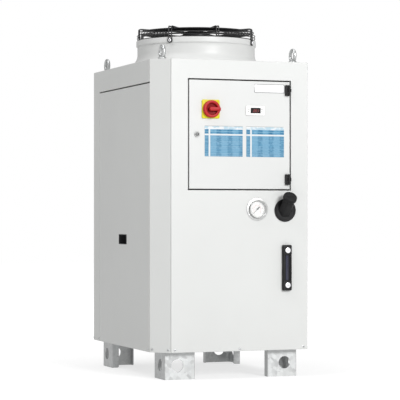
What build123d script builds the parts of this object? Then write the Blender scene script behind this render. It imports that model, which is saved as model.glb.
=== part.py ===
from build123d import *
import os
import math

# Packaged air-cooled chiller: a free-standing sheet-metal cabinet on four bent
# galvanised feet, with an axial fan on the roof and a control door in the front.
# Millimetres, +Z up, -Y is the front, +X is to the right seen from the front.
# Everything is drawn about the middle of the cabinet's footprint and moved along Y
# at the end, so that the origin is the bottom centre of the whole box.

# ---------------------------------------------------------------- dimensions
CAB_W = 595.0            # cabinet width, X
CAB_D = 743.0            # cabinet depth, Y
CAB_Z0 = 100.0           # underside of the cabinet
CAB_Z1 = 1155.0          # top of the cabinet
SHEET = 2.0              # panel sheet
RETURN = 18.0            # depth of a panel's folded edges
BEND_R = 2.0             # outer radius of a folded edge
REVEAL = 2.0             # gap between two panels
CHAMFER = 60.5           # leg of the cut front left corner
LID = 2.5                # roof sheet

XL, XR = -CAB_W / 2, CAB_W / 2
YF, YB = -CAB_D / 2, CAB_D / 2
PANEL_Z1 = CAB_Z1        # the roof sheet lies inside the panels' folded edges

# side panels
SEAM_Z = 1069.0          # top edge of the removable side panel
SEAM_GAP = 5.0           # dark gap above it
BAND_Y = 297.0           # front edge of the rear band
GRIP_W, GRIP_H = 97.0, 38.0
GRIP_Y, GRIP_Z = 0.0, 502.5
GRIP_DEPTH = 26.0

# screw heads on the side sheets, (Y, Z)
SCREW_R, SCREW_H = 4.6, 2.4
SIDE_SCREWS = ((-296.0, 110.5), (303.5, 110.5), (363.5, 110.5))

# door
DOOR_X0, DOOR_X1 = -166.8, 225.8
DOOR_Z0, DOOR_Z1 = 688.3, 1081.1
DOOR_GAP = 5.0
DOOR_DEEP = 16.0
HINGE_X = 219.5
HINGE_OUT = 7.0          # hinge pin in front of the door's face
HINGE_Z = (723.6, 1049.6)
HINGE_H = 39.0
PIN_R = 2.0
PIN_BORE = 2.05

# electrics tray behind the door
TUB_DEEP = 170.0
TUB_Y0 = YF + 24.0
TUB_SHEET = 1.5

# main switch
SW_X, SW_Z = -84.8, 976.0
SW_PLATE = 67.5
SW_PLATE_T = 5.0
KNOB_R = 31.0

# controller
CTL_X, CTL_Z = 88.2, 973.7
CTL_W, CTL_H = 72.0, 35.0

# nameplate
NP_X, NP_Z = 144.5, 1055.0
NP_W, NP_H = 119.0, 31.5

# lock
LOCK_X, LOCK_Z = -137.0, 884.6

# pressure gauge
PG_X, PG_Z = 97.4, 615.4
PG_FLANGE_R = 42.0
PG_CASE_R = 31.5

# filler
FN_X, FN_Z = 206.5, 611.0
FN_FLANGE_R = 42.0
FN_TILT = 46.0           # neck leans up from straight out, degrees
FN_BORE_R = 21.0
FN_HEX_R = 27.0          # six-sided foot of the neck, over its corners
FN_TOP_HEX_R = 22.5
CAP_R = 25.6
CAP_L = 16.0

# level gauge
LG_X, LG_Z = 211.5, 401.0
LG_W, LG_H = 33.6, 166.8
LG_OUT = 15.0
LG_PITCH = 127.0

# fan
FAN_X, FAN_Y = 1.2, 12.0
NECK_R = 224.2
COLLAR_R = 228.5
COLLAR_Z0, COLLAR_Z1 = 1232.5, 1254.8
BELL_R = 44.0
BELL_Z = 1202.5
SHROUD_T = 2.5
GUARD_R = 226.5
GUARD_Z0, GUARD_Z1 = 1254.9, 1289.8
GUARD_TOP = 1297.2
MOTOR_R = 52.0
HUB_R = 50.0
BLADE_R = 215.0
BLADE_Z0, BLADE_Z1 = 1164.0, 1222.0
N_BLADES = 7

# lifting eyes
EYE_X, EYE_Y = 255.0, 330.0
EYE_OUT_R, EYE_IN_R = 27.0, 15.0

# feet
FOOT_T = 3.0
FOOT_BEND_R = 4.0
FOOT_LX = 116.5          # plate along X
FOOT_LY = 113.0          # plate along Y
FOOT_LIP = 28.0
# outer corners; the front left foot stands further in, behind the cut corner
FOOT_FL, FOOT_FR = (-246.5, -331.5), (270.0, -331.5)
FOOT_RL, FOOT_RR = (-269.0, 336.0), (266.5, 336.0)
FOOT_HOLE_R = 22.5
FOOT_HOLE_Z = 51.0
FOOT_HOLE_IN = 48.5      # from the foot's corner

# water ports and cable gland in the rear panel
PORT_X, PORT_Z = (-200.0, -110.0), 190.0
PORT_R, PORT_BORE = 17.0, 12.1
PORT_OUT = 22.0
GLAND_X = 40.0            # seen from behind

os.makedirs("parts", exist_ok=True)
NODES = {}


def put(shape, name):
    NODES[name] = shape
    return shape


def box(x0, x1, y0, y1, z0, z1):
    return Pos((x0 + x1) / 2, (y0 + y1) / 2, (z0 + z1) / 2) * Box(x1 - x0, y1 - y0, z1 - z0)


def cyl(p0, p1, r):
    a, b = Vector(*p0), Vector(*p1)
    return Plane(origin=(a + b) / 2, z_dir=(b - a)) * Cylinder(r, (b - a).length)


def cone(p0, p1, r0, r1):
    a, b = Vector(*p0), Vector(*p1)
    return Plane(origin=(a + b) / 2, z_dir=(b - a)) * Cone(r0, r1, (b - a).length)


# local x runs right as seen from outside, local y up, local z out of the face
P_FRONT = Plane(origin=(0, YF, 0), x_dir=(1, 0, 0), z_dir=(0, -1, 0))
P_REAR = Plane(origin=(0, YB, 0), x_dir=(-1, 0, 0), z_dir=(0, 1, 0))
P_LEFT = Plane(origin=(XL, 0, 0), x_dir=(0, -1, 0), z_dir=(-1, 0, 0))
P_RIGHT = Plane(origin=(XR, 0, 0), x_dir=(0, 1, 0), z_dir=(1, 0, 0))


def poly(pts):
    return make_face(Polyline(*pts, close=True))


def tray(pts, deep=RETURN, cuts=()):
    """A folded sheet panel: face at local z = 0, edges folded back by deep."""
    f = poly(pts)
    outer = extrude(f, amount=-deep)
    top = outer.faces().sort_by(Axis.Z)[-1]
    outer = fillet(top.edges(), BEND_R)
    inner = Pos(0, 0, -SHEET) * extrude(offset(f, amount=-SHEET), amount=-deep)
    s = outer - inner
    for c in cuts:
        s -= c
    return s


def rect(x0, x1, y0, y1):
    return [(x0, y0), (x1, y0), (x1, y1), (x0, y1)]


def hole(x, y, r, deep=SHEET + 2):
    return Pos(x, y, -deep / 2 + 1) * Cylinder(r, deep + 2)


# ---------------------------------------------------------------- base and feet
def plan(inset):
    k = inset * (math.sqrt(2) - 1)
    return [(XL + inset, YB - inset), (XL + inset, YF + CHAMFER + k), (XL + CHAMFER + k, YF + inset),
            (XR - inset, YF + inset), (XR - inset, YB - inset)]


# the floor plate lies inside the panels' folded edges
base = Pos(0, 0, CAB_Z0) * extrude(poly(plan(RETURN + 0.5)), amount=3.0)
for r in (box(XL + 40, XR - 40, YF + 60, YF + 100, CAB_Z0 + 3, CAB_Z0 + 33),
          box(XL + 40, XR - 40, YB - 100, YB - 60, CAB_Z0 + 3, CAB_Z0 + 33)):
    base += r
put(base, "base_frame")


def foot(cx, cy, sx, sy):
    """Bent foot whose plates meet at (cx, cy) and run inward by -sx along X and -sy along Y."""
    t = FOOT_T
    def b(ax, bx, ay, by, z0, z1):
        x0, x1 = sorted((cx - sx * ax, cx - sx * bx))
        y0, y1 = sorted((cy - sy * ay, cy - sy * by))
        return box(x0, x1, y0, y1, z0, z1)
    s = b(0, FOOT_LX, 0, t, 0, CAB_Z0)
    s += b(0, t, 0, FOOT_LY, 0, CAB_Z0)
    s += b(FOOT_LX - t, FOOT_LX, 0, FOOT_LIP, 0, CAB_Z0)
    s += b(0, FOOT_LIP, FOOT_LY - t, FOOT_LY, 0, CAB_Z0)
    s += b(0, FOOT_LX, 0, FOOT_LY, CAB_Z0 - t, CAB_Z0)
    bends = [(cx, cy), (cx - sx * FOOT_LX, cy), (cx, cy - sy * FOOT_LY)]
    e = [e for e in s.edges().filter_by(Axis.Z)
         if any(abs(e.center().X - bx) < 0.01 and abs(e.center().Y - by) < 0.01 for bx, by in bends)]
    s = fillet(e, FOOT_BEND_R)
    # the lips' free lower corners are rounded off
    for lip in (((cx - sx * FOOT_LX, cy - sy * FOOT_LIP), (1, 0)), ((cx - sx * FOOT_LIP, cy - sy * FOOT_LY), (0, 1))):
        (lx, ly), along = lip
        pick = [e for e in s.edges().filter_by(Axis.X if along[0] else Axis.Y)
                if abs(e.center().Z) < 0.01 and e.length < 2 * t
                and (abs(e.center().Y - ly) < 0.01 if along[0] else abs(e.center().X - lx) < 0.01)]
        s = fillet(pick, 6.0)
    hx = cx - sx * FOOT_HOLE_IN
    hy = cy - sy * FOOT_HOLE_IN
    s -= cyl((hx, cy - sy * (-5), FOOT_HOLE_Z), (hx, cy - sy * 15, FOOT_HOLE_Z), FOOT_HOLE_R)
    s -= cyl((cx - sx * (-5), hy, FOOT_HOLE_Z), (cx - sx * 15, hy, FOOT_HOLE_Z), FOOT_HOLE_R)
    return s


put(foot(*FOOT_FL, -1, -1), "foot_front_left")
put(foot(*FOOT_FR, 1, -1), "foot_front_right")
put(foot(*FOOT_RL, -1, 1), "foot_rear_left")
put(foot(*FOOT_RR, 1, 1), "foot_rear_right")

# ---------------------------------------------------------------- cabinet panels
OPEN_X0, OPEN_X1 = DOOR_X0 - DOOR_GAP, DOOR_X1 + DOOR_GAP
OPEN_Z0, OPEN_Z1 = DOOR_Z0 - DOOR_GAP, DOOR_Z1 + DOOR_GAP

front = tray(rect(XL + CHAMFER + 1.5, XR, CAB_Z0, PANEL_Z1))
front -= Pos((OPEN_X0 + OPEN_X1) / 2, (OPEN_Z0 + OPEN_Z1) / 2, 0) * Box(OPEN_X1 - OPEN_X0, OPEN_Z1 - OPEN_Z0, 10)
front -= hole(PG_X, PG_Z, PG_CASE_R + 1.0)
front -= hole(FN_X, FN_Z, FN_BORE_R + 1.0)
put(P_FRONT * front, "front_panel")

strip_w = CHAMFER * math.sqrt(2) - 2.5
strip = extrude(poly(rect(-strip_w / 2, strip_w / 2, CAB_Z0, PANEL_Z1)), amount=-2.5)
strip = fillet(strip.faces().sort_by(Axis.Z)[-1].edges(), 1.0)
P_STRIP = Plane(origin=(XL + CHAMFER / 2, YF + CHAMFER / 2, 0), x_dir=(1, -1, 0), z_dir=(-1, -1, 0))
put(P_STRIP * strip, "corner_strip")


def side_band(y_front, plane, sgn):
    # local x is -Y on the left side and +Y on the right one
    def q(y, z):
        return (sgn * y, z)
    pts = [q(y_front, SEAM_Z + SEAM_GAP), q(y_front, PANEL_Z1), q(YB - 0.5, PANEL_Z1), q(YB - 0.5, CAB_Z0),
           q(BAND_Y, CAB_Z0), q(BAND_Y, SEAM_Z + SEAM_GAP)]
    return plane * tray(pts)


def side_panel(y_front, plane, sgn):
    x0, x1 = sorted((sgn * (y_front), sgn * (BAND_Y - REVEAL)))
    s = tray(rect(x0, x1, CAB_Z0, SEAM_Z))
    s -= Pos(sgn * GRIP_Y, GRIP_Z, 0) * Box(GRIP_W, GRIP_H, 10)
    return plane * s


def grip(plane, sgn):
    w, h = GRIP_W - 1.0, GRIP_H - 1.0
    o = Pos(sgn * GRIP_Y, GRIP_Z, -GRIP_DEPTH / 2 - 0.4) * Box(w, h, GRIP_DEPTH)
    i = Pos(sgn * GRIP_Y, GRIP_Z, -GRIP_DEPTH / 2 + 1.6) * Box(w - 4, h - 4, GRIP_DEPTH)
    return plane * (o - i)


Y_LEFT0 = YF + CHAMFER + 1.5
Y_RIGHT0 = YF + RETURN + 3.0
put(side_band(Y_LEFT0, P_LEFT, -1), "left_band")
put(side_panel(Y_LEFT0, P_LEFT, -1), "left_panel")
put(grip(P_LEFT, -1), "left_grip")


# on the right the front panel's folded edge is the corner, so the side sheets start behind it
put(side_band(Y_RIGHT0, P_RIGHT, 1), "right_band")
put(side_panel(Y_RIGHT0, P_RIGHT, 1), "right_panel")
put(grip(P_RIGHT, 1), "right_grip")

# screw heads that stand proud of the two sides
heads = None
for x, plane, sgn in ((XL, P_LEFT, -1), (XR, P_RIGHT, 1)):
    for y, z in SIDE_SCREWS:
        h = plane * (Pos(sgn * y, z, 0.1 + SCREW_H / 2) * Cylinder(SCREW_R, SCREW_H))
        heads = h if heads is None else heads + h
put(heads, "side_screws")

# rear panel between the two bands, with a field of pressed louvres
rx0, rx1 = XL + RETURN + 3, XR - RETURN - 3
rear = tray(rect(rx0, rx1, CAB_Z0, PANEL_Z1))
LV_X0, LV_X1, LV_Z0, LV_PITCH, LV_N = -205.0, 205.0, 420.0, 30.0, 18
for k in range(LV_N):
    z = LV_Z0 + k * LV_PITCH
    rear -= Pos(0, z, 0) * Box(LV_X1 - LV_X0, 9, 10)
for px in PORT_X:
    rear -= hole(-px, PORT_Z, PORT_R - 2)
rear -= hole(GLAND_X, PORT_Z, 9.5)
put(P_REAR * rear, "rear_panel")

lv = None
for k in range(LV_N):
    z = LV_Z0 + k * LV_PITCH
    f = poly([(LV_X0 + 1, YB, z + 4.3), (LV_X0 + 1, YB + 7.0, z - 4.0),
              (LV_X0 + 1, YB + 8.4, z - 3.0), (LV_X0 + 1, YB, z + 6.6)])
    blade = extrude(f, amount=LV_X1 - LV_X0 - 2, dir=(1, 0, 0))
    lv = blade if lv is None else lv + blade
put(lv, "rear_louvres")

# the roof sheet fills the space inside the folded edges and reaches into the cut corner
RI = RETURN + 0.5
lid = Pos(0, 0, CAB_Z1 - LID) * extrude(poly([
    (XL + RI, YB - RI), (XL + RI, Y_LEFT0 - 0.5), (XL + 4.5, Y_LEFT0 - 0.5),
    (XL + CHAMFER + 1.0, YF + 4.5), (XL + CHAMFER + 1.0, YF + RI),
    (XR - RI, YF + RI), (XR - RI, YB - RI)]), amount=LID)
lid = fillet(lid.faces().sort_by(Axis.Z)[-1].edges(), 1.0)
lid -= Pos(FAN_X, FAN_Y, CAB_Z1) * Cylinder(NECK_R + BELL_R - 20, 20)
for sx in (-1, 1):
    for sy in (-1, 1):
        lid -= Pos(sx * EYE_X, sy * EYE_Y, CAB_Z1) * Cylinder(6.5, 20)
put(lid, "roof_panel")

# ---------------------------------------------------------------- electrics tray
tub_out = box(OPEN_X0 - 14, OPEN_X1 + 14, TUB_Y0, TUB_Y0 + TUB_DEEP, OPEN_Z0 - 14, OPEN_Z1 + 14)
tub_in = box(OPEN_X0 - 14 + TUB_SHEET, OPEN_X1 + 14 - TUB_SHEET, TUB_Y0 - 1, TUB_Y0 + TUB_DEEP - TUB_SHEET,
             OPEN_Z0 - 14 + TUB_SHEET, OPEN_Z1 + 14 - TUB_SHEET)
tub_rim = box(OPEN_X0 - 14, OPEN_X1 + 14, TUB_Y0, TUB_Y0 + TUB_SHEET, OPEN_Z0 - 14, OPEN_Z1 + 14) - \
    box(OPEN_X0 + 1, OPEN_X1 - 1, TUB_Y0 - 1, TUB_Y0 + 5, OPEN_Z0 + 1, OPEN_Z1 - 1)
# the rim would stand in the door's folded edge, so it stays behind it
put(tub_out - tub_in, "electrics_tray")
frame_out = box(OPEN_X0 - 14, OPEN_X1 + 14, YF + SHEET, TUB_Y0, OPEN_Z0 - 14, OPEN_Z1 + 14)
frame_in = box(OPEN_X0 - 0.0, OPEN_X1 + 0.0, YF, TUB_Y0 + 1, OPEN_Z0 - 0.0, OPEN_Z1 + 0.0)
put(frame_out - frame_in, "door_frame")

MP_Y = TUB_Y0 + TUB_DEEP - TUB_SHEET - 12
put(box(OPEN_X0 + 8, OPEN_X1 - 8, MP_Y, MP_Y + 2.5, OPEN_Z0 + 8, OPEN_Z1 - 8), "mounting_plate")

rail_z = (OPEN_Z1 - 118, OPEN_Z0 + 118)
rails = None
for z in rail_z:
    r = box(OPEN_X0 + 30, OPEN_X1 - 30, MP_Y - 7.5, MP_Y, z - 13.5, z + 13.5)
    r += box(OPEN_X0 + 30, OPEN_X1 - 30, MP_Y - 7.5, MP_Y - 6.5, z - 17.5, z + 17.5)
    rails = r if rails is None else rails + r
put(rails, "din_rails")
ducts = None
for z in (OPEN_Z1 - 30, (OPEN_Z0 + OPEN_Z1) / 2, OPEN_Z0 + 30):
    d = box(OPEN_X0 + 14, OPEN_X1 - 14, MP_Y - 60, MP_Y, z - 15, z + 15)
    ducts = d if ducts is None else ducts + d
put(ducts, "wire_ducts")
mods = None
x = OPEN_X0 + 40
for w, h, dp in ((54, 84, 62), (45, 74, 76), (45, 74, 76), (45, 74, 76), (36, 84, 62), (72, 84, 60)):
    m = box(x, x + w - 0.8, MP_Y - 7.5 - dp, MP_Y - 7.5, rail_z[0] - h / 2, rail_z[0] + h / 2)
    mods = m if mods is None else mods + m
    x += w
terms = box(OPEN_X0 + 40, OPEN_X0 + 230, MP_Y - 7.5 - 42, MP_Y - 7.5, rail_z[1] - 30, rail_z[1] + 30)
terms += box(OPEN_X0 + 244, OPEN_X0 + 334, MP_Y - 7.5 - 58, MP_Y - 7.5, rail_z[1] - 43, rail_z[1] + 43)
put(mods + terms, "switchgear")

# ---------------------------------------------------------------- fan ring
def ring_profile(pts):
    f = make_face(Polyline(*[(r, 0, z) for r, z in pts], close=True))
    return Pos(FAN_X, FAN_Y, 0) * revolve(f, Axis.Z, 360)


out, inn = [], []
for k in range(9):
    a = math.radians(90 * k / 8)
    out.append((NECK_R + BELL_R - BELL_R * math.sin(a), BELL_Z - BELL_R * math.cos(a)))
    b = BELL_R + SHROUD_T
    inn.append((NECK_R + BELL_R - b * math.sin(a), BELL_Z - b * math.cos(a)))
# the bell's underside ends on the roof sheet
flare = [(NECK_R + BELL_R + 2.5, CAB_Z1), (NECK_R + BELL_R + 2.5, out[0][1])] + out
flare += list(reversed(inn[1:]))
flare += [(NECK_R + BELL_R, BELL_Z - BELL_R - SHROUD_T), (NECK_R + BELL_R, CAB_Z1)]
put(ring_profile(flare), "fan_ring")
# above the flare a straight neck ends in a rolled collar
collar = [(NECK_R, BELL_Z), (NECK_R, COLLAR_Z0 - 2), (COLLAR_R, COLLAR_Z0 + 1.5), (COLLAR_R, COLLAR_Z1 - 1.0),
          (COLLAR_R - 1.0, COLLAR_Z1), (COLLAR_R - 2.6, COLLAR_Z1), (COLLAR_R - 2.6, COLLAR_Z0 + 3.2),
          (NECK_R - SHROUD_T, COLLAR_Z0 - 0.6), (NECK_R - SHROUD_T, BELL_Z)]
put(ring_profile(collar), "fan_collar")

# ---------------------------------------------------------------- guard
def annulus(r, w, z0, z1):
    return Pos(FAN_X, FAN_Y, (z0 + z1) / 2) * (Cylinder(r + w / 2, z1 - z0) - Cylinder(r - w / 2, z1 - z0 + 2))


WIRE = 3.2
guard = None
tops = [GUARD_R - 7.0 - 10.0 * k for k in range(11)]
for r in tops:
    g = annulus(r, WIRE + 0.3, GUARD_Z1 - WIRE - 0.3, GUARD_Z1 + 0.1)
    guard = g if guard is None else guard + g
for z in (GUARD_Z0, GUARD_Z0 + 9.2, GUARD_Z0 + 18.5):
    guard += annulus(GUARD_R - WIRE / 2, WIRE, z, z + WIRE)
arm_in = MOTOR_R - 6
for k in range(8):
    a = 45.0 * k
    arm = box(arm_in, GUARD_R - 1.0, -3, 3, GUARD_Z1, GUARD_TOP)
    arm += box(GUARD_R - 1.0, GUARD_R + 5.8, -3, 3, GUARD_Z0, GUARD_TOP)
    guard += Pos(FAN_X, FAN_Y, 0) * Rot(0, 0, a) * arm
guard += annulus(arm_in + 8, 20, GUARD_Z1 - 2, GUARD_Z1 + 3)
put(guard, "fan_guard")

legs = None
for k in range(4):
    a = 45.0 + 90.0 * k
    leg = box(COLLAR_R + 0.5, COLLAR_R + 5.7, -3, 3, 1250.0, GUARD_Z0)
    leg += Pos(COLLAR_R + 3.2, 0, 1241.0) * Rot(0, 90, 0) * (Cylinder(11.5, 5.0) - Cylinder(4.3, 8))
    leg = Pos(FAN_X, FAN_Y, 0) * Rot(0, 0, a) * leg
    legs = leg if legs is None else legs + leg
put(legs, "guard_lugs")

motor = Pos(FAN_X, FAN_Y, 0) * (Pos(0, 0, (1231.0 + GUARD_Z1 - 2.0) / 2) * Cylinder(MOTOR_R, GUARD_Z1 - 2.0 - 1231.0))
motor += Pos(FAN_X, FAN_Y, 0) * (Pos(0, 0, (GUARD_Z1 - 2 + 1293.0) / 2) * Cylinder(arm_in - 2.5, 1293.0 - GUARD_Z1 + 2))
motor -= Pos(FAN_X, FAN_Y, 1240) * Cylinder(8.05, 24)
put(motor, "fan_motor")

rotor = Pos(FAN_X, FAN_Y, (1158.0 + 1227.0) / 2) * Cylinder(HUB_R, 1227.0 - 1158.0)
rotor += Pos(FAN_X, FAN_Y, (1220.0 + 1250.0) / 2) * Cylinder(8.0, 30.0)
env = Pos(0, 0, (BLADE_Z0 + BLADE_Z1) / 2) * (Cylinder(BLADE_R, BLADE_Z1 - BLADE_Z0) - Cylinder(HUB_R - 4, 100))
for k in range(N_BLADES):
    a = 360.0 / N_BLADES * k
    bl = Pos((HUB_R + BLADE_R) / 2, 0, (BLADE_Z0 + BLADE_Z1) / 2) * Rot(-27, 0, 0) * Box(BLADE_R - HUB_R + 60, 118, 3.0)
    bl = bl & env
    rotor += Pos(FAN_X, FAN_Y, 0) * Rot(0, 0, a) * bl
put(rotor, "fan_rotor")

# ---------------------------------------------------------------- lifting eyes
eyes = None
for sx in (-1, 1):
    for sy in (-1, 1):
        c = CAB_Z1 + 26.5
        ring = Rot(0, 90, 0) * Torus((EYE_OUT_R + EYE_IN_R) / 2, (EYE_OUT_R - EYE_IN_R) / 2)
        e = Pos(sx * EYE_X, sy * EYE_Y, c) * ring
        e += Pos(sx * EYE_X, sy * EYE_Y, CAB_Z1 + 3.5) * Cylinder(15.0, 7.0)
        e += Pos(sx * EYE_X, sy * EYE_Y, CAB_Z1 - 10) * Cylinder(6.0, 22.0)
        eyes = e if eyes is None else eyes + e
put(eyes, "lifting_eyes")

# ---------------------------------------------------------------- pressure gauge
def disc(plane, x, z, r, d0, d1):
    """A disc on a face from d0 to d1 in front of it (negative is inside)."""
    return plane * (Pos(x, z, (d0 + d1) / 2) * Cylinder(r, d1 - d0))


gauge = disc(P_FRONT, PG_X, PG_Z, PG_FLANGE_R, 0.2, 2.2)
gauge += disc(P_FRONT, PG_X, PG_Z, PG_CASE_R, -30.0, 2.2)
gauge += disc(P_FRONT, PG_X, PG_Z, PG_CASE_R + 2.0, 2.0, 12.0)
gauge -= disc(P_FRONT, PG_X, PG_Z, PG_CASE_R - 1.5, -1.0, 20.0)
gauge -= disc(P_FRONT, PG_X, PG_Z, 1.55, -8.0, 0.0)
put(gauge, "gauge_case")
dial = disc(P_FRONT, PG_X, PG_Z, PG_CASE_R - 1.7, -0.9, 0.5) - disc(P_FRONT, PG_X, PG_Z, 3.0, -2.0, 3.0)
put(dial, "gauge_dial")
put(disc(P_FRONT, PG_X, PG_Z, PG_CASE_R - 1.6, 8.0, 10.0), "gauge_glass")
ptr = Pos(0, 0, 3.3) * Cylinder(4.0, 2.0)
ptr += Pos(0, 0, 0.0) * Cylinder(1.5, 8.0)
pts = [(-1.6, 0), (-0.5, 24.5), (0.5, 24.5), (1.6, 0), (2.6, -11.5), (-2.6, -11.5)]
ptr += Pos(0, 0, 2.6) * extrude(poly(pts), amount=1.2)
# at rest it reads zero: the tip points down to the left
put(P_FRONT * (Pos(PG_X, PG_Z, 0) * Rot(0, 0, 135) * ptr), "gauge_pointer")

# ---------------------------------------------------------------- filler
ta = math.radians(FN_TILT)
nd = Vector(0, -math.cos(ta), math.sin(ta))          # the neck's direction
elbow = Vector(FN_X, YF - 13.0, FN_Z + 9.5)
CAP0 = elbow + nd * 42.0
flange = disc(P_FRONT, FN_X, FN_Z, FN_FLANGE_R, 0.2, 6.0)
flange = fillet(flange.edges().filter_by(GeomType.CIRCLE).sort_by(Axis.Y)[0], 3.0)
stub = disc(P_FRONT, FN_X, FN_Z, FN_BORE_R, -30.0, 2.0)
P_NECK = Plane(origin=CAP0, x_dir=(1, 0, 0), z_dir=nd)
h0 = Plane(origin=(FN_X, YF - 5.0, FN_Z), x_dir=(1, 0, 0), z_dir=(0, -1, 0)) * RegularPolygon(FN_HEX_R, 6)
h1 = Plane(origin=CAP0 - nd * 1.0, x_dir=(1, 0, 0), z_dir=nd) * RegularPolygon(FN_TOP_HEX_R, 6)
neck = flange + stub + loft([h0, h1], ruled=True)
neck += Plane(origin=CAP0 + nd * 5.0, x_dir=(1, 0, 0), z_dir=nd) * Cylinder(18.5, 14.0)
neck -= Plane(origin=CAP0 - nd * 2.0, x_dir=(1, 0, 0), z_dir=nd) * Cylinder(15.5, 40.0)
put(neck, "filler_neck")
cap = P_NECK * (Pos(0, 0, CAP_L / 2 + 0.3) * Cylinder(CAP_R, CAP_L))
cap = fillet(cap.faces().sort_by(Axis.Y)[0].edges().filter_by(GeomType.CIRCLE), 2.5)
cap -= P_NECK * (Pos(0, 0, 6.0) * Cylinder(19.0, 13.0))
put(cap, "filler_cap")

# ---------------------------------------------------------------- level gauge
lg = P_FRONT * (Pos(LG_X, LG_Z, LG_OUT / 2 + 0.1) * Box(LG_W, LG_H, LG_OUT - 0.2))
lg = fillet(lg.edges().filter_by(Axis.Y), 4.0)
lg -= P_FRONT * (Pos(LG_X, LG_Z, LG_OUT - 3.0) * Box(15.0, LG_PITCH - 28, 8.0))
put(lg, "level_gauge_body")
put(P_FRONT * (Pos(LG_X, LG_Z, LG_OUT - 4.4) * Box(14.6, LG_PITCH - 28.4, 5.0)), "level_gauge_window")
lb = None
for k in (-1, 1):
    b = disc(P_FRONT, LG_X, LG_Z + k * LG_PITCH / 2, 10.0, LG_OUT + 0.05, LG_OUT + 4.5)
    lb = b if lb is None else lb + b
put(lb, "level_gauge_screws")

# ---------------------------------------------------------------- water ports
ports = None
for px in PORT_X:
    p = disc(P_REAR, -px, PORT_Z, PORT_R - 2.5, -40, PORT_OUT)
    p += P_REAR * (Pos(-px, PORT_Z, 4.2) * extrude(RegularPolygon(24.0, 6), amount=8.0))
    p -= disc(P_REAR, -px, PORT_Z, PORT_BORE, -50, PORT_OUT + 1)
    ports = p if ports is None else ports + p
put(ports, "water_ports")
gl = disc(P_REAR, GLAND_X, PORT_Z, 9.0, -20, 12.0)
gl += P_REAR * (Pos(GLAND_X, PORT_Z, 0.2) * extrude(RegularPolygon(13.0, 6), amount=6.0))
gl += disc(P_REAR, GLAND_X, PORT_Z, 11.5, 6.0, 19.0)
gl -= disc(P_REAR, GLAND_X, PORT_Z, 5.5, -30, 30)
put(gl, "cable_gland")

# ---------------------------------------------------------------- door
door = tray(rect(DOOR_X0, DOOR_X1, DOOR_Z0, DOOR_Z1), deep=DOOR_DEEP)
door -= hole(SW_X, SW_Z, 12.0)
door -= Pos(CTL_X, CTL_Z, 0) * Box(CTL_W - 4, CTL_H - 6, 10)
door -= hole(LOCK_X, LOCK_Z, 9.0)
put(P_FRONT * door, "door_panel")

lock_h = disc(P_FRONT, LOCK_X, LOCK_Z, 11.0, 0.2, 3.0) + disc(P_FRONT, LOCK_X, LOCK_Z, 8.8, -14.0, 1.0)
lock_h -= disc(P_FRONT, LOCK_X, LOCK_Z, 6.55, -15, 5)
put(lock_h, "lock_housing")
core = disc(P_FRONT, LOCK_X, LOCK_Z, 6.5, -15.0, 2.4)
core -= P_FRONT * (Pos(LOCK_X, LOCK_Z, 1.5) * Box(2.2, 9.0, 5.0))
put(core, "lock_core")

ctl = P_FRONT * (Pos(CTL_X, CTL_Z, 2.6) * Box(CTL_W, CTL_H, 4.8))
ctl = fillet(ctl.edges().filter_by(Axis.Y), 3.0)
ctl += P_FRONT * (Pos(CTL_X, CTL_Z, -14.0) * Box(CTL_W - 4.6, CTL_H - 6.6, 29.0))
ctl -= P_FRONT * (Pos(CTL_X + 0.9, CTL_Z, 5.0) * Box(38.5, 19.5, 2.4))
put(ctl, "controller")
put(P_FRONT * (Pos(CTL_X + 0.9, CTL_Z, 4.3) * Box(38.0, 19.0, 0.9)), "controller_display")

npl = P_FRONT * (Pos(NP_X, NP_Z, 0.8) * Box(NP_W, NP_H, 1.2))
npl = fillet(npl.edges().filter_by(Axis.Y), 4.0)
put(npl, "nameplate")

swp = P_FRONT * (Pos(SW_X, SW_Z, SW_PLATE_T / 2 + 0.2) * Box(SW_PLATE, SW_PLATE, SW_PLATE_T))
swp = fillet(swp.edges().filter_by(Axis.Y), 4.0)
swp += disc(P_FRONT, SW_X, SW_Z, 11.5, -22.0, 1.0)
swp += P_FRONT * (Pos(SW_X, SW_Z, -40.0) * Box(48, 48, 40))
swp -= disc(P_FRONT, SW_X, SW_Z, 5.05, -30, 10)
put(swp, "switch_plate")
KT = SW_PLATE_T + 0.7
knob = disc(P_FRONT, SW_X, SW_Z, KNOB_R, KT, KT + 19.0)
knob = fillet(knob.edges().filter_by(GeomType.CIRCLE).sort_by(Axis.Y)[0], 2.5)
knob -= disc(P_FRONT, SW_X, SW_Z, KNOB_R - 7.0, KT + 4.0, KT + 30.0)
grip_bar = P_FRONT * (Pos(SW_X + 7.0, SW_Z, KT + 12.0) * Box(62.0, 14.0, 24.0))
knob += fillet(grip_bar.edges().filter_by(Axis.Y), 4.0)
knob += disc(P_FRONT, SW_X, SW_Z, 5.0, -18.0, KT + 2)
put(knob, "switch_knob")

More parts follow.
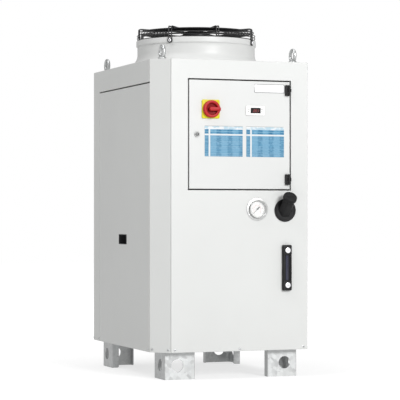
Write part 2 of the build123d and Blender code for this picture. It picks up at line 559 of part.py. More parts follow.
# hinges: the pin and the middle knuckle belong to the cabinet, the outer knuckles to the door
fixed, moving = None, None
ha = (HINGE_X, YF - HINGE_OUT)
for z in HINGE_Z:
    h3 = HINGE_H / 3
    kn = cyl((ha[0], ha[1], z - h3 / 2 + 0.4), (ha[0], ha[1], z + h3 / 2 - 0.4), 5.5)
    arm = box(ha[0], DOOR_X1 + 2.9, ha[1] - 2.0, ha[1] + 2.0, z - h3 / 2 + 0.4, z + h3 / 2 - 0.4)
    arm += box(DOOR_X1 + 0.9, DOOR_X1 + 2.9, ha[1] - 2.0, YF + 22.0, z - h3 / 2 + 0.4, z + h3 / 2 - 0.4)
    arm += box(DOOR_X1 + 1.0, DOOR_X1 + 5.0, YF + 8.0, YF + 22.0, z - h3 / 2 + 0.4, z + h3 / 2 - 0.4)
    pin = cyl((ha[0], ha[1], z - HINGE_H / 2 + 1.5), (ha[0], ha[1], z + HINGE_H / 2 - 1.5), PIN_R)
    fx = kn + arm + pin
    fixed = fx if fixed is None else fixed + fx
    mv = None
    for s in (-1, 1):
        z0, z1 = (z + h3 / 2, z + HINGE_H / 2) if s > 0 else (z - HINGE_H / 2, z - h3 / 2)
        k2 = cyl((ha[0], ha[1], z0), (ha[0], ha[1], z1), 5.5)
        k2 += box(HINGE_X - 13.3, HINGE_X, ha[1] - 2.5, YF - 0.2, z0, z1)
        mv = k2 if mv is None else mv + k2
    mv += box(HINGE_X - 13.3, HINGE_X - 7.3, ha[1] + 0.5, YF - 0.2, z - HINGE_H / 2, z + HINGE_H / 2)
    mv -= cyl((ha[0], ha[1], z - HINGE_H / 2 + 1.2), (ha[0], ha[1], z + HINGE_H / 2 - 1.2), PIN_BORE)
    moving = mv if moving is None else moving + mv
put(fixed, "hinge_frame_leaves")
put(moving, "hinge_door_leaves")

# ---------------------------------------------------------------- write the files
y_front = min(n.bounding_box().min.Y for n in NODES.values())
y_rear = max(n.bounding_box().max.Y for n in NODES.values())
Y_SHIFT = -(y_front + y_rear) / 2
print("front", round(y_front, 3), "rear", round(y_rear, 3), "shift", round(Y_SHIFT, 3))
for name, shape in NODES.items():
    s = Pos(0, Y_SHIFT, 0) * shape
    s.label = name
    export_step(s, "parts/" + name + ".step")
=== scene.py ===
import math
import random

import bmesh
import bpy
from mathutils import Matrix, Vector


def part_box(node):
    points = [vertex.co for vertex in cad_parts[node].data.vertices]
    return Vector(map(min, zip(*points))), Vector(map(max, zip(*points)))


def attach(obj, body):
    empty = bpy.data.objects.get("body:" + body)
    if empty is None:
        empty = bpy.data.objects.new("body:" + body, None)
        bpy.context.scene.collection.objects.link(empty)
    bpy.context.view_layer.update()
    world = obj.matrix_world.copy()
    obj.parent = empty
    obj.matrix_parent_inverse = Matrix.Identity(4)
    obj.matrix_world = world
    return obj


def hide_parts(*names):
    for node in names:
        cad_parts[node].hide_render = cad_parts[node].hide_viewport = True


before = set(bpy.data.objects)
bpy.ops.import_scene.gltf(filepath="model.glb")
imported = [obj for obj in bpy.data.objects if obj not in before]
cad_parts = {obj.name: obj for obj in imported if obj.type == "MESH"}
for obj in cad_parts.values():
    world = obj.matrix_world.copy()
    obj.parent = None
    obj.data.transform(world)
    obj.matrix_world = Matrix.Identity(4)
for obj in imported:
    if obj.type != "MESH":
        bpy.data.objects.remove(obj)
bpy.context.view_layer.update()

# ------------------------------------------------------------------ frame and dimensions (millimetres)
# Everything below is laid out about the middle of the cabinet's footprint, then moved to the row frame.
YF, YB, XL, XR = -371.5, 371.5, -297.5, 297.5
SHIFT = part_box("front_panel")[0].y * 1000.0 - YF
FAN = (1.2, 12.0)
TO_ROW = Matrix.Translation((0, SHIFT / 1000.0, 0)) @ Matrix.Scale(0.001, 4)
rng = random.Random(41)


def axes(origin, ex, ey):
    ex, ey = Vector(ex).normalized(), Vector(ey).normalized()
    ez = ex.cross(ey)
    m = Matrix.Identity(4)
    for i in range(3):
        m[i][0], m[i][1], m[i][2], m[i][3] = ex[i], ey[i], ez[i], origin[i]
    return m


def front(x, z, d=0.0):
    """Local x right, y up, z out of the front face, at (x, z), d mm proud of it."""
    return axes((x, YF - d, z), (1, 0, 0), (0, 0, 1))


def rear(x, z, d=0.0):
    return axes((x, YB + d, z), (-1, 0, 0), (0, 0, 1))


def left(y, z, d=0.0):
    return axes((XL - d, y, z), (0, -1, 0), (0, 0, 1))


def right(y, z, d=0.0):
    return axes((XR + d, y, z), (0, 1, 0), (0, 0, 1))


def up(x, y, z, turn=0.0):
    return Matrix.Translation((x, y, z)) @ Matrix.Rotation(math.radians(turn), 4, "Z")


# ------------------------------------------------------------------ materials
def new_mat(name):
    m = bpy.data.materials.new(name)
    m.use_nodes = True
    t = m.node_tree
    t.nodes.clear()
    out = t.nodes.new("ShaderNodeOutputMaterial")
    p = t.nodes.new("ShaderNodeBsdfPrincipled")
    t.links.new(p.outputs["BSDF"], out.inputs["Surface"])
    return m, t, p


class Net:
    """Short names for building a material's nodes."""

    def __init__(self, tree):
        self.t = tree
        self.co = None

    def node(self, kind, **kw):
        n = self.t.nodes.new(kind)
        for k, v in kw.items():
            setattr(n, k, v)
        return n

    def link(self, a, b):
        self.t.links.new(a, b)

    def obj(self):
        if self.co is None:
            self.co = self.node("ShaderNodeTexCoord").outputs["Object"]
        return self.co

    def mapped(self, scale=(1, 1, 1), loc=(0, 0, 0), rot=(0, 0, 0), src=None):
        n = self.node("ShaderNodeMapping")
        self.link(src or self.obj(), n.inputs["Vector"])
        n.inputs["Scale"].default_value = scale
        n.inputs["Location"].default_value = loc
        n.inputs["Rotation"].default_value = rot
        return n.outputs["Vector"]

    def noise(self, scale, detail=2.0, rough=0.5, src=None, dist=0.0):
        n = self.node("ShaderNodeTexNoise")
        self.link(src or self.obj(), n.inputs["Vector"])
        n.inputs["Scale"].default_value = scale
        n.inputs["Detail"].default_value = detail
        n.inputs["Roughness"].default_value = rough
        n.inputs["Distortion"].default_value = dist
        return n.outputs["Fac"]

    def voronoi(self, scale, src=None, feature="F1", out="Distance", rand=1.0):
        n = self.node("ShaderNodeTexVoronoi", feature=feature)
        self.link(src or self.obj(), n.inputs["Vector"])
        n.inputs["Scale"].default_value = scale
        n.inputs["Randomness"].default_value = rand
        return n.outputs[out]

    def ramp(self, fac, stops, interp="LINEAR"):
        n = self.node("ShaderNodeValToRGB")
        n.color_ramp.interpolation = interp
        els = n.color_ramp.elements
        while len(els) < len(stops):
            els.new(0.5)
        for e, (pos, col) in zip(els, stops):
            e.position = pos
            e.color = (*col, 1.0) if len(col) == 3 else col
        self.link(fac, n.inputs["Fac"])
        return n.outputs["Color"]

    def rng(self, fac, a, b, c=0.0, d=1.0, clamp=True):
        """Maps c..d of fac to a..b."""
        n = self.node("ShaderNodeMapRange", clamp=clamp)
        self.link(fac, n.inputs["Value"])
        n.inputs["From Min"].default_value, n.inputs["From Max"].default_value = c, d
        n.inputs["To Min"].default_value, n.inputs["To Max"].default_value = a, b
        return n.outputs["Result"]

    def math(self, op, a, b=None, c=None):
        n = self.node("ShaderNodeMath", operation=op)
        for i, v in enumerate((a, b, c)):
            if v is None:
                continue
            if isinstance(v, (int, float)):
                n.inputs[i].default_value = v
            else:
                self.link(v, n.inputs[i])
        return n.outputs[0]

    def mix(self, fac, a, b, blend="MIX"):
        n = self.node("ShaderNodeMix", data_type="RGBA", blend_type=blend)
        for i, v in ((0, fac), (6, a), (7, b)):
            if isinstance(v, (int, float)):
                n.inputs[i].default_value = v
            elif isinstance(v, (tuple, list)):
                n.inputs[i].default_value = (*v, 1.0) if len(v) == 3 else v
            else:
                self.link(v, n.inputs[i])
        return n.outputs[2]

    def xyz(self, src=None):
        n = self.node("ShaderNodeSeparateXYZ")
        self.link(src or self.obj(), n.inputs[0])
        return n.outputs

    def bump(self, height, strength, distance, normal=None):
        n = self.node("ShaderNodeBump")
        n.inputs["Strength"].default_value = strength
        n.inputs["Distance"].default_value = distance
        self.link(height, n.inputs["Height"])
        if normal is not None:
            self.link(normal, n.inputs["Normal"])
        return n.outputs["Normal"]


def paint(name, rgb, rough=0.42, grain=900.0, strength=0.10, tint=0.02, spec=0.5, coat=0.0, dusty=0.0):
    """Powder coat: fine orange peel, a little speckle and slow changes of tone."""
    m, t, p = new_mat(name)
    n = Net(t)
    slow = n.noise(2.3, 3.0, 0.55)
    fine = n.noise(grain * 1.7, 1.0)
    a = tuple(c * (1 - tint) for c in rgb)
    b = tuple(min(1.0, c * (1 + tint)) for c in rgb)
    col = n.ramp(n.rng(slow, 0, 1, 0.3, 0.7), [(0.0, a), (1.0, b)])
    col = n.mix(n.rng(fine, 0.0, 0.10, 0.35, 0.75), col, tuple(c * 0.86 for c in rgb))
    if dusty:
        z = n.xyz()[2]
        low = n.rng(z, dusty, 0.0, 0.1, 0.32)
        patch = n.math("MULTIPLY", low, n.rng(n.noise(14.0, 4.0, 0.6), 0.35, 1.0, 0.35, 0.65))
        col = n.mix(patch, col, (0.42, 0.40, 0.37))
    n.link(col, p.inputs["Base Color"])
    n.link(n.rng(n.noise(5.0, 4.0, 0.6), rough - 0.04, rough + 0.05, 0.3, 0.7), p.inputs["Roughness"])
    p.inputs["Specular IOR Level"].default_value = spec
    if coat:
        p.inputs["Coat Weight"].default_value = coat
        p.inputs["Coat Roughness"].default_value = 0.12
    h = n.noise(grain, 2.0, 0.5)
    peel = n.noise(grain * 0.22, 1.0, 0.5)
    n.link(n.bump(peel, strength * 0.6, 0.0004, n.bump(h, strength, 0.00025)), p.inputs["Normal"])
    return m


def plastic(name, rgb, rough=0.5, grain=1500.0, strength=0.12, tint=0.05, spec=0.5):
    """Moulded plastic: eroded grain and faint flow marks."""
    m, t, p = new_mat(name)
    n = Net(t)
    flow = n.noise(18.0, 3.0, 0.6, dist=0.4)
    col = n.ramp(n.rng(flow, 0, 1, 0.3, 0.7), [(0.0, tuple(c * (1 - tint) for c in rgb)), (1.0, tuple(min(1, c * (1 + tint)) for c in rgb))])
    n.link(col, p.inputs["Base Color"])
    n.link(n.rng(n.noise(60.0, 3.0, 0.6), rough - 0.06, rough + 0.07, 0.3, 0.7), p.inputs["Roughness"])
    p.inputs["Specular IOR Level"].default_value = spec
    v = n.voronoi(grain)
    n.link(n.bump(v, strength, 0.0001, n.bump(n.noise(grain * 0.5, 2.0), strength * 0.6, 0.0001)), p.inputs["Normal"])
    return m


def metal(name, rgb, rough=0.3, metallic=1.0, brush=None, strength=0.05, stain=0.08, grain=700.0, aniso=0.0):
    """Plated or bare metal: brushed one way or tumbled, with faint stains."""
    m, t, p = new_mat(name)
    n = Net(t)
    slow = n.noise(26.0, 4.0, 0.6)
    col = n.ramp(n.rng(slow, 0, 1, 0.3, 0.7), [(0.0, tuple(c * (1 - stain) for c in rgb)), (1.0, tuple(min(1, c * (1 + stain)) for c in rgb))])
    n.link(col, p.inputs["Base Color"])
    p.inputs["Metallic"].default_value = metallic
    if aniso:
        p.inputs["Anisotropic"].default_value = aniso
    if brush:
        src = n.mapped(scale=brush)
        lines = n.noise(1.0, 3.0, 0.6, src=src)
    else:
        lines = n.noise(grain, 3.0, 0.6)
    n.link(n.rng(lines, rough - 0.08, rough + 0.10, 0.3, 0.7), p.inputs["Roughness"])
    n.link(n.bump(lines, strength, 0.0001), p.inputs["Normal"])
    return m


def galvanised(name, rgb=(0.56, 0.57, 0.57), scale=70.0, metallic=0.75, rough=0.42):
    """Hot-dip sheet: crystals of differing tone with soft borders, and a white bloom."""
    m, t, p = new_mat(name)
    n = Net(t)
    warp = n.mix(0.012, n.obj(), n.node("ShaderNodeTexNoise").outputs["Color"])
    cell = n.voronoi(scale, src=n.obj(), out="Color")
    tone = n.xyz(cell)[0]
    border = n.voronoi(scale, feature="DISTANCE_TO_EDGE")
    dark, light = tuple(c * 0.86 for c in rgb), tuple(min(1, c * 1.12) for c in rgb)
    col = n.ramp(tone, [(0.0, dark), (0.5, rgb), (1.0, light)])
    col = n.mix(n.rng(border, 0.25, 0.0, 0.0, 0.06), col, tuple(c * 0.8 for c in rgb))
    bloom = n.rng(n.noise(9.0, 5.0, 0.65), 0.0, 0.35, 0.48, 0.75)
    col = n.mix(bloom, col, (0.72, 0.72, 0.70))
    n.link(col, p.inputs["Base Color"])
    p.inputs["Metallic"].default_value = metallic
    n.link(n.math("ADD", n.rng(tone, rough - 0.08, rough + 0.10), n.math("MULTIPLY", bloom, 0.3)), p.inputs["Roughness"])
    h = n.math("ADD", n.math("MULTIPLY", tone, 0.4), n.noise(500.0, 2.0))
    n.link(n.bump(h, 0.06, 0.00015), p.inputs["Normal"])
    t.nodes.remove(warp.node)
    return m


def emissive(name, rgb, strength, rough=0.4):
    m, t, p = new_mat(name)
    n = Net(t)
    f = n.noise(900.0, 1.0)
    n.link(n.ramp(n.rng(f, 0, 1, 0.3, 0.7), [(0, tuple(c * 0.85 for c in rgb)), (1, rgb)]), p.inputs["Base Color"])
    p.inputs["Emission Color"].default_value = (*rgb, 1)
    p.inputs["Emission Strength"].default_value = strength
    p.inputs["Roughness"].default_value = rough
    return m


def glass(name, tint=(0.97, 0.98, 0.98), alpha=0.13):
    """A thin clear disc: mostly see-through, with a faint sheen and wiping marks."""
    m, t, p = new_mat(name)
    n = Net(t)
    n.link(n.ramp(n.rng(n.noise(30.0, 2.0), 0, 1, 0.3, 0.7), [(0, tuple(c * 0.98 for c in tint)), (1, tint)]), p.inputs["Base Color"])
    p.inputs["Alpha"].default_value = alpha
    n.link(n.rng(n.noise(40.0, 3.0), 0.03, 0.09, 0.35, 0.7), p.inputs["Roughness"])
    return m


GREY = (0.600, 0.608, 0.598)
M = {}
M["panel"] = paint("panel_powder_coat", GREY, dusty=0.05)
M["door"] = paint("door_powder_coat", (0.596, 0.603, 0.596))
# darker copy of the panel paint for the door frame seen in the gaps round the door: painted shade
M["inner"] = paint("door_frame_coat_painted_shade", (0.47, 0.478, 0.47), rough=0.5)
M["strip"] = paint("corner_powder_coat", GREY, rough=0.38)
M["ring"] = paint("ring_enamel", (0.610, 0.615, 0.608), rough=0.40, grain=500.0, strength=0.05)
M["galv"] = galvanised("galvanised_sheet")
M["galv_tray"] = galvanised("galvanised_tray", (0.60, 0.61, 0.61), scale=42.0, rough=0.36)
M["zinc"] = metal("zinc_plate", (0.66, 0.67, 0.68), rough=0.34, strength=0.08)
M["eye"] = metal("forged_zinc", (0.60, 0.61, 0.61), rough=0.40, strength=0.22, grain=420.0, stain=0.14)
M["stainless"] = metal("turned_stainless", (0.50, 0.505, 0.50), rough=0.34, strength=0.04)
M["chrome"] = metal("polished_caps", (0.90, 0.90, 0.92), rough=0.30, metallic=0.55, strength=0.02, stain=0.02)
M["brass"] = metal("turned_brass", (0.71, 0.53, 0.26), rough=0.30, strength=0.05, stain=0.10)
M["rail"] = metal("rail_zinc", (0.70, 0.69, 0.62), rough=0.28, brush=(6.0, 900.0, 900.0), strength=0.05)
M["wire"] = paint("wire_coating", (0.012, 0.012, 0.013), rough=0.34, grain=1200.0, strength=0.10, tint=0.2)
M["motor"] = paint("motor_coating", (0.022, 0.023, 0.025), rough=0.45, grain=700.0, strength=0.25, tint=0.2)
M["blade"] = paint("blade_coating", (0.020, 0.021, 0.023), rough=0.38, grain=800.0, strength=0.12, tint=0.2)
M["black"] = plastic("black_moulding", (0.0085, 0.0085, 0.0090), rough=0.50, spec=0.25)
M["black2"] = plastic("black_moulding_soft", (0.012, 0.012, 0.0125), rough=0.56, strength=0.2, spec=0.25)
M["dark"] = plastic("dark_recess", (0.028, 0.029, 0.031), rough=0.5)
M["rubber"] = plastic("seal_rubber", (0.016, 0.016, 0.016), rough=0.72, grain=900, strength=0.35)
M["gapseal"] = plastic("door_seal_foam", (0.035, 0.036, 0.036), rough=0.85, grain=1400, strength=0.5)
M["white"] = plastic("white_moulding", (0.86, 0.86, 0.85), rough=0.36, strength=0.05, tint=0.01)
M["yellow"] = plastic("yellow_moulding", (0.62, 0.565, 0.016), rough=0.46, strength=0.08, tint=0.03, spec=0.25)
M["red"] = plastic("red_moulding", (0.405, 0.012, 0.015), rough=0.42, strength=0.08, tint=0.05, spec=0.25)
# darker copy of the red moulding: painted shade for the knob's recess floor, padlock slots and the line on the bar
M["red_deep"] = plastic("red_moulding_painted_shade", (0.235, 0.008, 0.010), rough=0.55, strength=0.1, spec=0.2)
M["duct"] = plastic("duct_moulding", (0.40, 0.43, 0.44), rough=0.5, strength=0.06)
M["device"] = plastic("device_moulding", (0.56, 0.57, 0.56), rough=0.48, strength=0.08)
M["device_dark"] = plastic("device_moulding_dark", (0.055, 0.058, 0.062), rough=0.45, strength=0.08)
M["term_grey"] = plastic("terminal_grey", (0.36, 0.37, 0.37), rough=0.5)
M["term_blue"] = plastic("terminal_blue", (0.03, 0.16, 0.42), rough=0.5)
M["term_green"] = plastic("terminal_green", (0.05, 0.30, 0.08), rough=0.5)
M["lever"] = plastic("lever_moulding", (0.02, 0.05, 0.20), rough=0.4)
M["wire_black"] = plastic("wire_skin_black", (0.02, 0.02, 0.02), rough=0.42)
M["wire_blue"] = plastic("wire_skin_blue", (0.02, 0.06, 0.30), rough=0.42)
M["wire_red"] = plastic("wire_skin_red", (0.35, 0.02, 0.02), rough=0.42)
M["print_grey"] = plastic("printed_outline", (0.15, 0.15, 0.155), rough=0.5, strength=0.02)
# a real gasket under the controller, its light grey tone also painting the soft shade along the case's edge
M["gasket"] = plastic("grey_gasket_painted_edge_shade", (0.40, 0.405, 0.40), rough=0.6, strength=0.1)
M["lock"] = metal("die_cast_zinc", (0.38, 0.385, 0.38), rough=0.46, metallic=0.35, strength=0.12, stain=0.10, grain=900.0)
M["print_dark"] = plastic("printed_black", (0.02, 0.02, 0.02), rough=0.45, strength=0.02)
M["print_red"] = plastic("printed_red", (0.55, 0.09, 0.12), rough=0.45, strength=0.02)
M["plate"] = plastic("plate_face", (0.88, 0.885, 0.89), rough=0.24, strength=0.02, tint=0.006, grain=2500)
M["dial"] = plastic("dial_enamel", (0.86, 0.86, 0.845), rough=0.4, strength=0.02, tint=0.01)
M["window"] = plastic("display_window", (0.006, 0.004, 0.004), rough=0.16, strength=0.01)
M["digit"] = emissive("display_red", (0.34, 0.010, 0.012), 0.30)
M["digit_off"] = plastic("display_dark_segments", (0.05, 0.004, 0.004), rough=0.3)
M["glass"] = glass("gauge_lens")
# near black for the drive recesses of the screws and the lock's keyway floor: painted shade in the hollows
M["screw_hole"] = plastic("drive_recess_painted_shade", (0.05, 0.05, 0.052), rough=0.6)


def tube_material():
    """Sight tube: dark navy liquid column, with lighter flanks along its length painted in as reflections on the round
    glass.
    """
    m, t, p = new_mat("sight_tube")
    n = Net(t)
    x = n.xyz()[0]
    # lighter at both sides of the tube and darkest in the middle: painted reflection
    col = n.ramp(n.rng(x, 0, 1, 0.2037, 0.2193), [(0.0, (0.045, 0.05, 0.085)), (0.28, (0.028, 0.030, 0.062)), (0.5, (0.006, 0.007, 0.022)), (0.75, (0.012, 0.011, 0.026)), (1.0, (0.03, 0.03, 0.036))])
    col = n.mix(n.rng(n.noise(60, 2), 0, 0.2, 0.4, 0.7), col, (0.02, 0.02, 0.05))
    n.link(col, p.inputs["Base Color"])
    n.link(n.rng(n.noise(200, 2), 0.12, 0.2, 0.3, 0.7), p.inputs["Roughness"])
    p.inputs["Coat Weight"].default_value = 0.6
    p.inputs["Coat Roughness"].default_value = 0.08
    return m


M["tube"] = tube_material()


def table_material(name, x0, z0, high, seed):
    """A plain printed table in blues: a pale head row, a deeper band, a white line, then thin rows whose cells change in tone, with no marks that read as writing. x0, z0 is its lower left corner and high its height, in metres and millimetres."""
    m, t, p = new_mat(name)
    n = Net(t)
    o = n.xyz()
    u = n.math("MULTIPLY", n.math("SUBTRACT", o[0], x0), 1000.0)      # mm from the left
    v = n.math("MULTIPLY", n.math("SUBTRACT", o[2], z0), 1000.0)      # mm from the bottom

    def between(q, a, b):
        return n.math("MULTIPLY", n.math("GREATER_THAN", q, a), n.math("LESS_THAN", q, b))

    rowh = 3.72
    row = n.math("FLOOR", n.math("DIVIDE", v, rowh))
    cell = n.math("FLOOR", n.math("DIVIDE", n.math("ADD", u, 6.0), 9.0))
    comb = n.node("ShaderNodeCombineXYZ")
    n.link(cell, comb.inputs[0]); n.link(row, comb.inputs[1]); comb.inputs[2].default_value = float(seed)
    wn = n.node("ShaderNodeTexWhiteNoise", noise_dimensions="3D")
    n.link(comb.outputs[0], wn.inputs["Vector"])
    comb2 = n.node("ShaderNodeCombineXYZ")
    n.link(row, comb2.inputs[0]); comb2.inputs[1].default_value = float(seed) + 7.0
    wr = n.node("ShaderNodeTexWhiteNoise", noise_dimensions="3D")
    n.link(comb2.outputs[0], wr.inputs["Vector"])
    light, mid, deep, ink = (0.125, 0.300, 0.445), (0.070, 0.232, 0.372), (0.030, 0.165, 0.290), (0.012, 0.105, 0.210)
    # every other column is filled more densely, as in a list of names and values
    odd = n.rng(n.math("SINE", n.math("MULTIPLY", u, 2 * math.pi / 43.5)), 0.0, 1.0, -0.1, 0.6)
    tone = n.math("ADD", n.math("MULTIPLY", wn.outputs["Value"], n.rng(odd, 0.22, 0.62)), n.math("ADD", n.math("MULTIPLY", odd, 0.16), n.math("MULTIPLY", wr.outputs["Value"], 0.26)))
    col = n.ramp(tone, [(0.0, light), (0.22, light), (0.52, mid), (0.85, deep)])
    fr = n.math("FRACT", n.math("DIVIDE", v, rowh))
    rule = n.math("LESS_THAN", fr, 0.20)
    col = n.mix(n.math("MULTIPLY", rule, n.rng(wr.outputs["Value"], 0.1, 1.0)), col, (0.34, 0.50, 0.60))
    dash = n.math("GREATER_THAN", n.noise(1.0, 1.0, src=n.mapped(scale=(300, 1, 1100), loc=(seed * 3.7, 0, 0))), 0.52)
    col = n.mix(n.math("MULTIPLY", n.math("MULTIPLY", between(fr, 0.34, 0.82), dash), n.rng(odd, 0.22, 0.55)), col, ink)
    # the deeper band below the head row, in two lines
    bcol = n.ramp(n.math("ADD", n.math("MULTIPLY", wn.outputs["Value"], 0.5), n.math("MULTIPLY", odd, 0.5)), [(0.0, (0.125, 0.310, 0.455)), (0.4, (0.058, 0.225, 0.375)), (1.0, (0.010, 0.130, 0.255))])
    bcol = n.mix(n.math("MULTIPLY", between(v, 89.8, 91.2), 0.6), bcol, (0.33, 0.50, 0.60))
    col = n.mix(between(v, 82.2, 98.4), col, bcol)
    white = (0.60, 0.625, 0.635)
    # white line, the gap after the first column, and a pale head row with whiter fields
    col = n.mix(between(v, 76.5, 82.2), col, white)
    head = n.mix(n.rng(n.noise(1.0, 2.0, src=n.mapped(scale=(42, 1, 60), loc=(seed * 1.3, 0, 0))), 0.0, 1.0, 0.42, 0.56), (0.38, 0.52, 0.60), (0.66, 0.68, 0.69))
    col = n.mix(n.math("GREATER_THAN", v, 98.4), col, head)
    col = n.mix(n.math("MULTIPLY", between(u, 15.4, 21.6), n.math("LESS_THAN", v, 99.0)), col, white)
    # hairline frame, greyer along the top
    top = n.math("GREATER_THAN", v, high - 1.5)
    col = n.mix(top, col, (0.30, 0.30, 0.295))
    edge = n.math("LESS_THAN", n.math("MINIMUM", u, v), 0.5)
    col = n.mix(n.math("MULTIPLY", edge, 0.6), col, (0.10, 0.16, 0.20))
    n.link(col, p.inputs["Base Color"])
    n.link(n.rng(n.noise(40, 3), 0.34, 0.44, 0.3, 0.7), p.inputs["Roughness"])
    p.inputs["Specular IOR Level"].default_value = 0.3
    n.link(n.bump(n.noise(350, 2), 0.03, 0.0001), p.inputs["Normal"])
    return m


# ------------------------------------------------------------------ mesh building
class Build:
    """Collects primitives, in millimetres, into one mesh with several materials."""

    def __init__(self, name):
        self.name, self.bm, self.mats = name, bmesh.new(), []

    def slot(self, mat):
        if mat not in self.mats:
            self.mats.append(mat)
        return self.mats.index(mat)

    def add(self, bm, m, mat):
        i = self.slot(mat)
        for f in bm.faces:
            f.material_index = i
        bm.transform(m)
        if m.to_3x3().determinant() < 0:
            bmesh.ops.reverse_faces(bm, faces=bm.faces)
        me = bpy.data.meshes.new("t")
        bm.to_mesh(me)
        bm.free()
        self.bm.from_mesh(me)
        bpy.data.meshes.remove(me)
        return self

    def box(self, m, sx, sy, sz, mat, bevel=0.6, seg=2, centre=(0, 0, 0)):
        bm = bmesh.new()
        bmesh.ops.create_cube(bm, size=1.0)
        bmesh.ops.scale(bm, vec=(sx, sy, sz), verts=bm.verts)
        bmesh.ops.translate(bm, vec=centre, verts=bm.verts)
        if bevel:
            bmesh.ops.bevel(bm, geom=list(bm.edges), offset=bevel, segments=seg, profile=0.5, affect="EDGES", clamp_overlap=True)
        return self.add(bm, m, mat)

    def span(self, x0, x1, y0, y1, z0, z1, mat, bevel=0.6, seg=2, m=None):
        return self.box((m or Matrix.Identity(4)) @ Matrix.Translation(((x0 + x1) / 2, (y0 + y1) / 2, (z0 + z1) / 2)), abs(x1 - x0), abs(y1 - y0), abs(z1 - z0), mat, bevel, seg)

    def prism(self, m, pts, z0, z1, mat, bevel=0.5, seg=2, both=False):
        """A flat shape raised from z0 to z1, its upper edge rounded."""
        bm = bmesh.new()
        vs = [bm.verts.new((x, y, z0)) for x, y in pts]
        f = bm.faces.new(vs)
        r = bmesh.ops.extrude_face_region(bm, geom=[f])
        up_v = [g for g in r["geom"] if isinstance(g, bmesh.types.BMVert)]
        bmesh.ops.translate(bm, vec=(0, 0, z1 - z0), verts=up_v)
        bmesh.ops.recalc_face_normals(bm, faces=bm.faces)
        if bevel:
            es = [e for e in bm.edges if all(abs(v.co.z - z1) < 1e-6 for v in e.verts) or (both and all(abs(v.co.z - z0) < 1e-6 for v in e.verts))]
            bmesh.ops.bevel(bm, geom=es, offset=bevel, segments=seg, profile=0.5, affect="EDGES", clamp_overlap=True)
        return self.add(bm, m, mat)

    def ringprism(self, m, outer, inner, z0, z1, mat, bevel=0.0):
        """A flat frame between two outlines with the same number of points."""
        bm = bmesh.new()
        n = len(outer)
        lo_o = [bm.verts.new((x, y, z0)) for x, y in outer]
        hi_o = [bm.verts.new((x, y, z1)) for x, y in outer]
        hi_i = [bm.verts.new((x, y, z1)) for x, y in inner]
        lo_i = [bm.verts.new((x, y, z0)) for x, y in inner]
        for k in range(n):
            j = (k + 1) % n
            for a, b in ((lo_o, hi_o), (hi_o, hi_i), (hi_i, lo_i), (lo_i, lo_o)):
                bm.faces.new((a[k], a[j], b[j], b[k]))
        bmesh.ops.recalc_face_normals(bm, faces=bm.faces)
        if bevel:
            es = [e for e in bm.edges if all(abs(v.co.z - z1) < 1e-6 for v in e.verts) and (e.verts[0] in hi_o) == (e.verts[1] in hi_o)]
            bmesh.ops.bevel(bm, geom=es, offset=bevel, segments=2, profile=0.5, affect="EDGES", clamp_overlap=True)
        return self.add(bm, m, mat)

    def lathe(self, m, profile, mat, seg=48, closed=False, arc=360.0):
        """Turns (r, z) points about the local z axis. Points on the axis close it."""
        bm = bmesh.new()
        full = abs(arc - 360.0) < 1e-6
        cols = []
        steps = seg if full else seg + 1
        poles = {}
        for k in range(steps):
            a = math.radians(arc) * k / seg
            c, s = math.cos(a), math.sin(a)
            col = []
            for i, (r, z) in enumerate(profile):
                if r < 1e-6:
                    if i not in poles:
                        poles[i] = bm.verts.new((0, 0, z))
                    col.append(poles[i])
                else:
                    col.append(bm.verts.new((r * c, r * s, z)))
            cols.append(col)
        n = len(profile)
        pairs = [(i, i + 1) for i in range(n - 1)] + ([(n - 1, 0)] if closed else [])
        for k in range(seg):
            a, b = cols[k], cols[(k + 1) % steps]
            for i, j in pairs:
                vs = []
                for v in (a[i], b[i], b[j], a[j]):
                    if v not in vs:
                        vs.append(v)
                if len(vs) > 2:
                    bm.faces.new(vs)
        if not full and closed:
            for col in (cols[0], cols[-1]):
                bm.faces.new(col)
        bmesh.ops.recalc_face_normals(bm, faces=bm.faces)
        return self.add(bm, m, mat)

    def tube(self, m, pts, r, mat, seg=10, closed=False, cap=True):
        pts = [Vector(p) for p in pts]
        n = len(pts)
        bm = bmesh.new()
        tan = []
        for i in range(n):
            a = pts[i - 1] if (i > 0 or closed) else pts[i]
            b = pts[(i + 1) % n] if (i < n - 1 or closed) else pts[i]
            tan.append((b - a).normalized())
        ref = Vector((0, 0, 1)) if abs(tan[0].z) < 0.9 else Vector((1, 0, 0))
        u = tan[0].cross(ref).normalized()
        rings = []
        for i in range(n):
            if i:
                q = tan[i - 1].rotation_difference(tan[i])
                u = (q @ u).normalized()
            w = tan[i].cross(u).normalized()
            rr = r[i] if isinstance(r, (list, tuple)) else r
            rings.append([bm.verts.new(pts[i] + rr * (math.cos(2 * math.pi * k / seg) * u + math.sin(2 * math.pi * k / seg) * w)) for k in range(seg)])
        for i in range(n if closed else n - 1):
            a, b = rings[i], rings[(i + 1) % n]
            for k in range(seg):
                j = (k + 1) % seg
                bm.faces.new((a[k], a[j], b[j], b[k]))
        if not closed and cap:
            bm.faces.new(list(reversed(rings[0])))
            bm.faces.new(rings[-1])
        bmesh.ops.recalc_face_normals(bm, faces=bm.faces)
        return self.add(bm, m, mat)

    def torus(self, m, R, r, mat, segR=96, segr=10):
        pr = [(R + r * math.cos(2 * math.pi * k / segr), r * math.sin(2 * math.pi * k / segr)) for k in range(segr)]
        return self.lathe(m, pr, mat, seg=segR, closed=True)

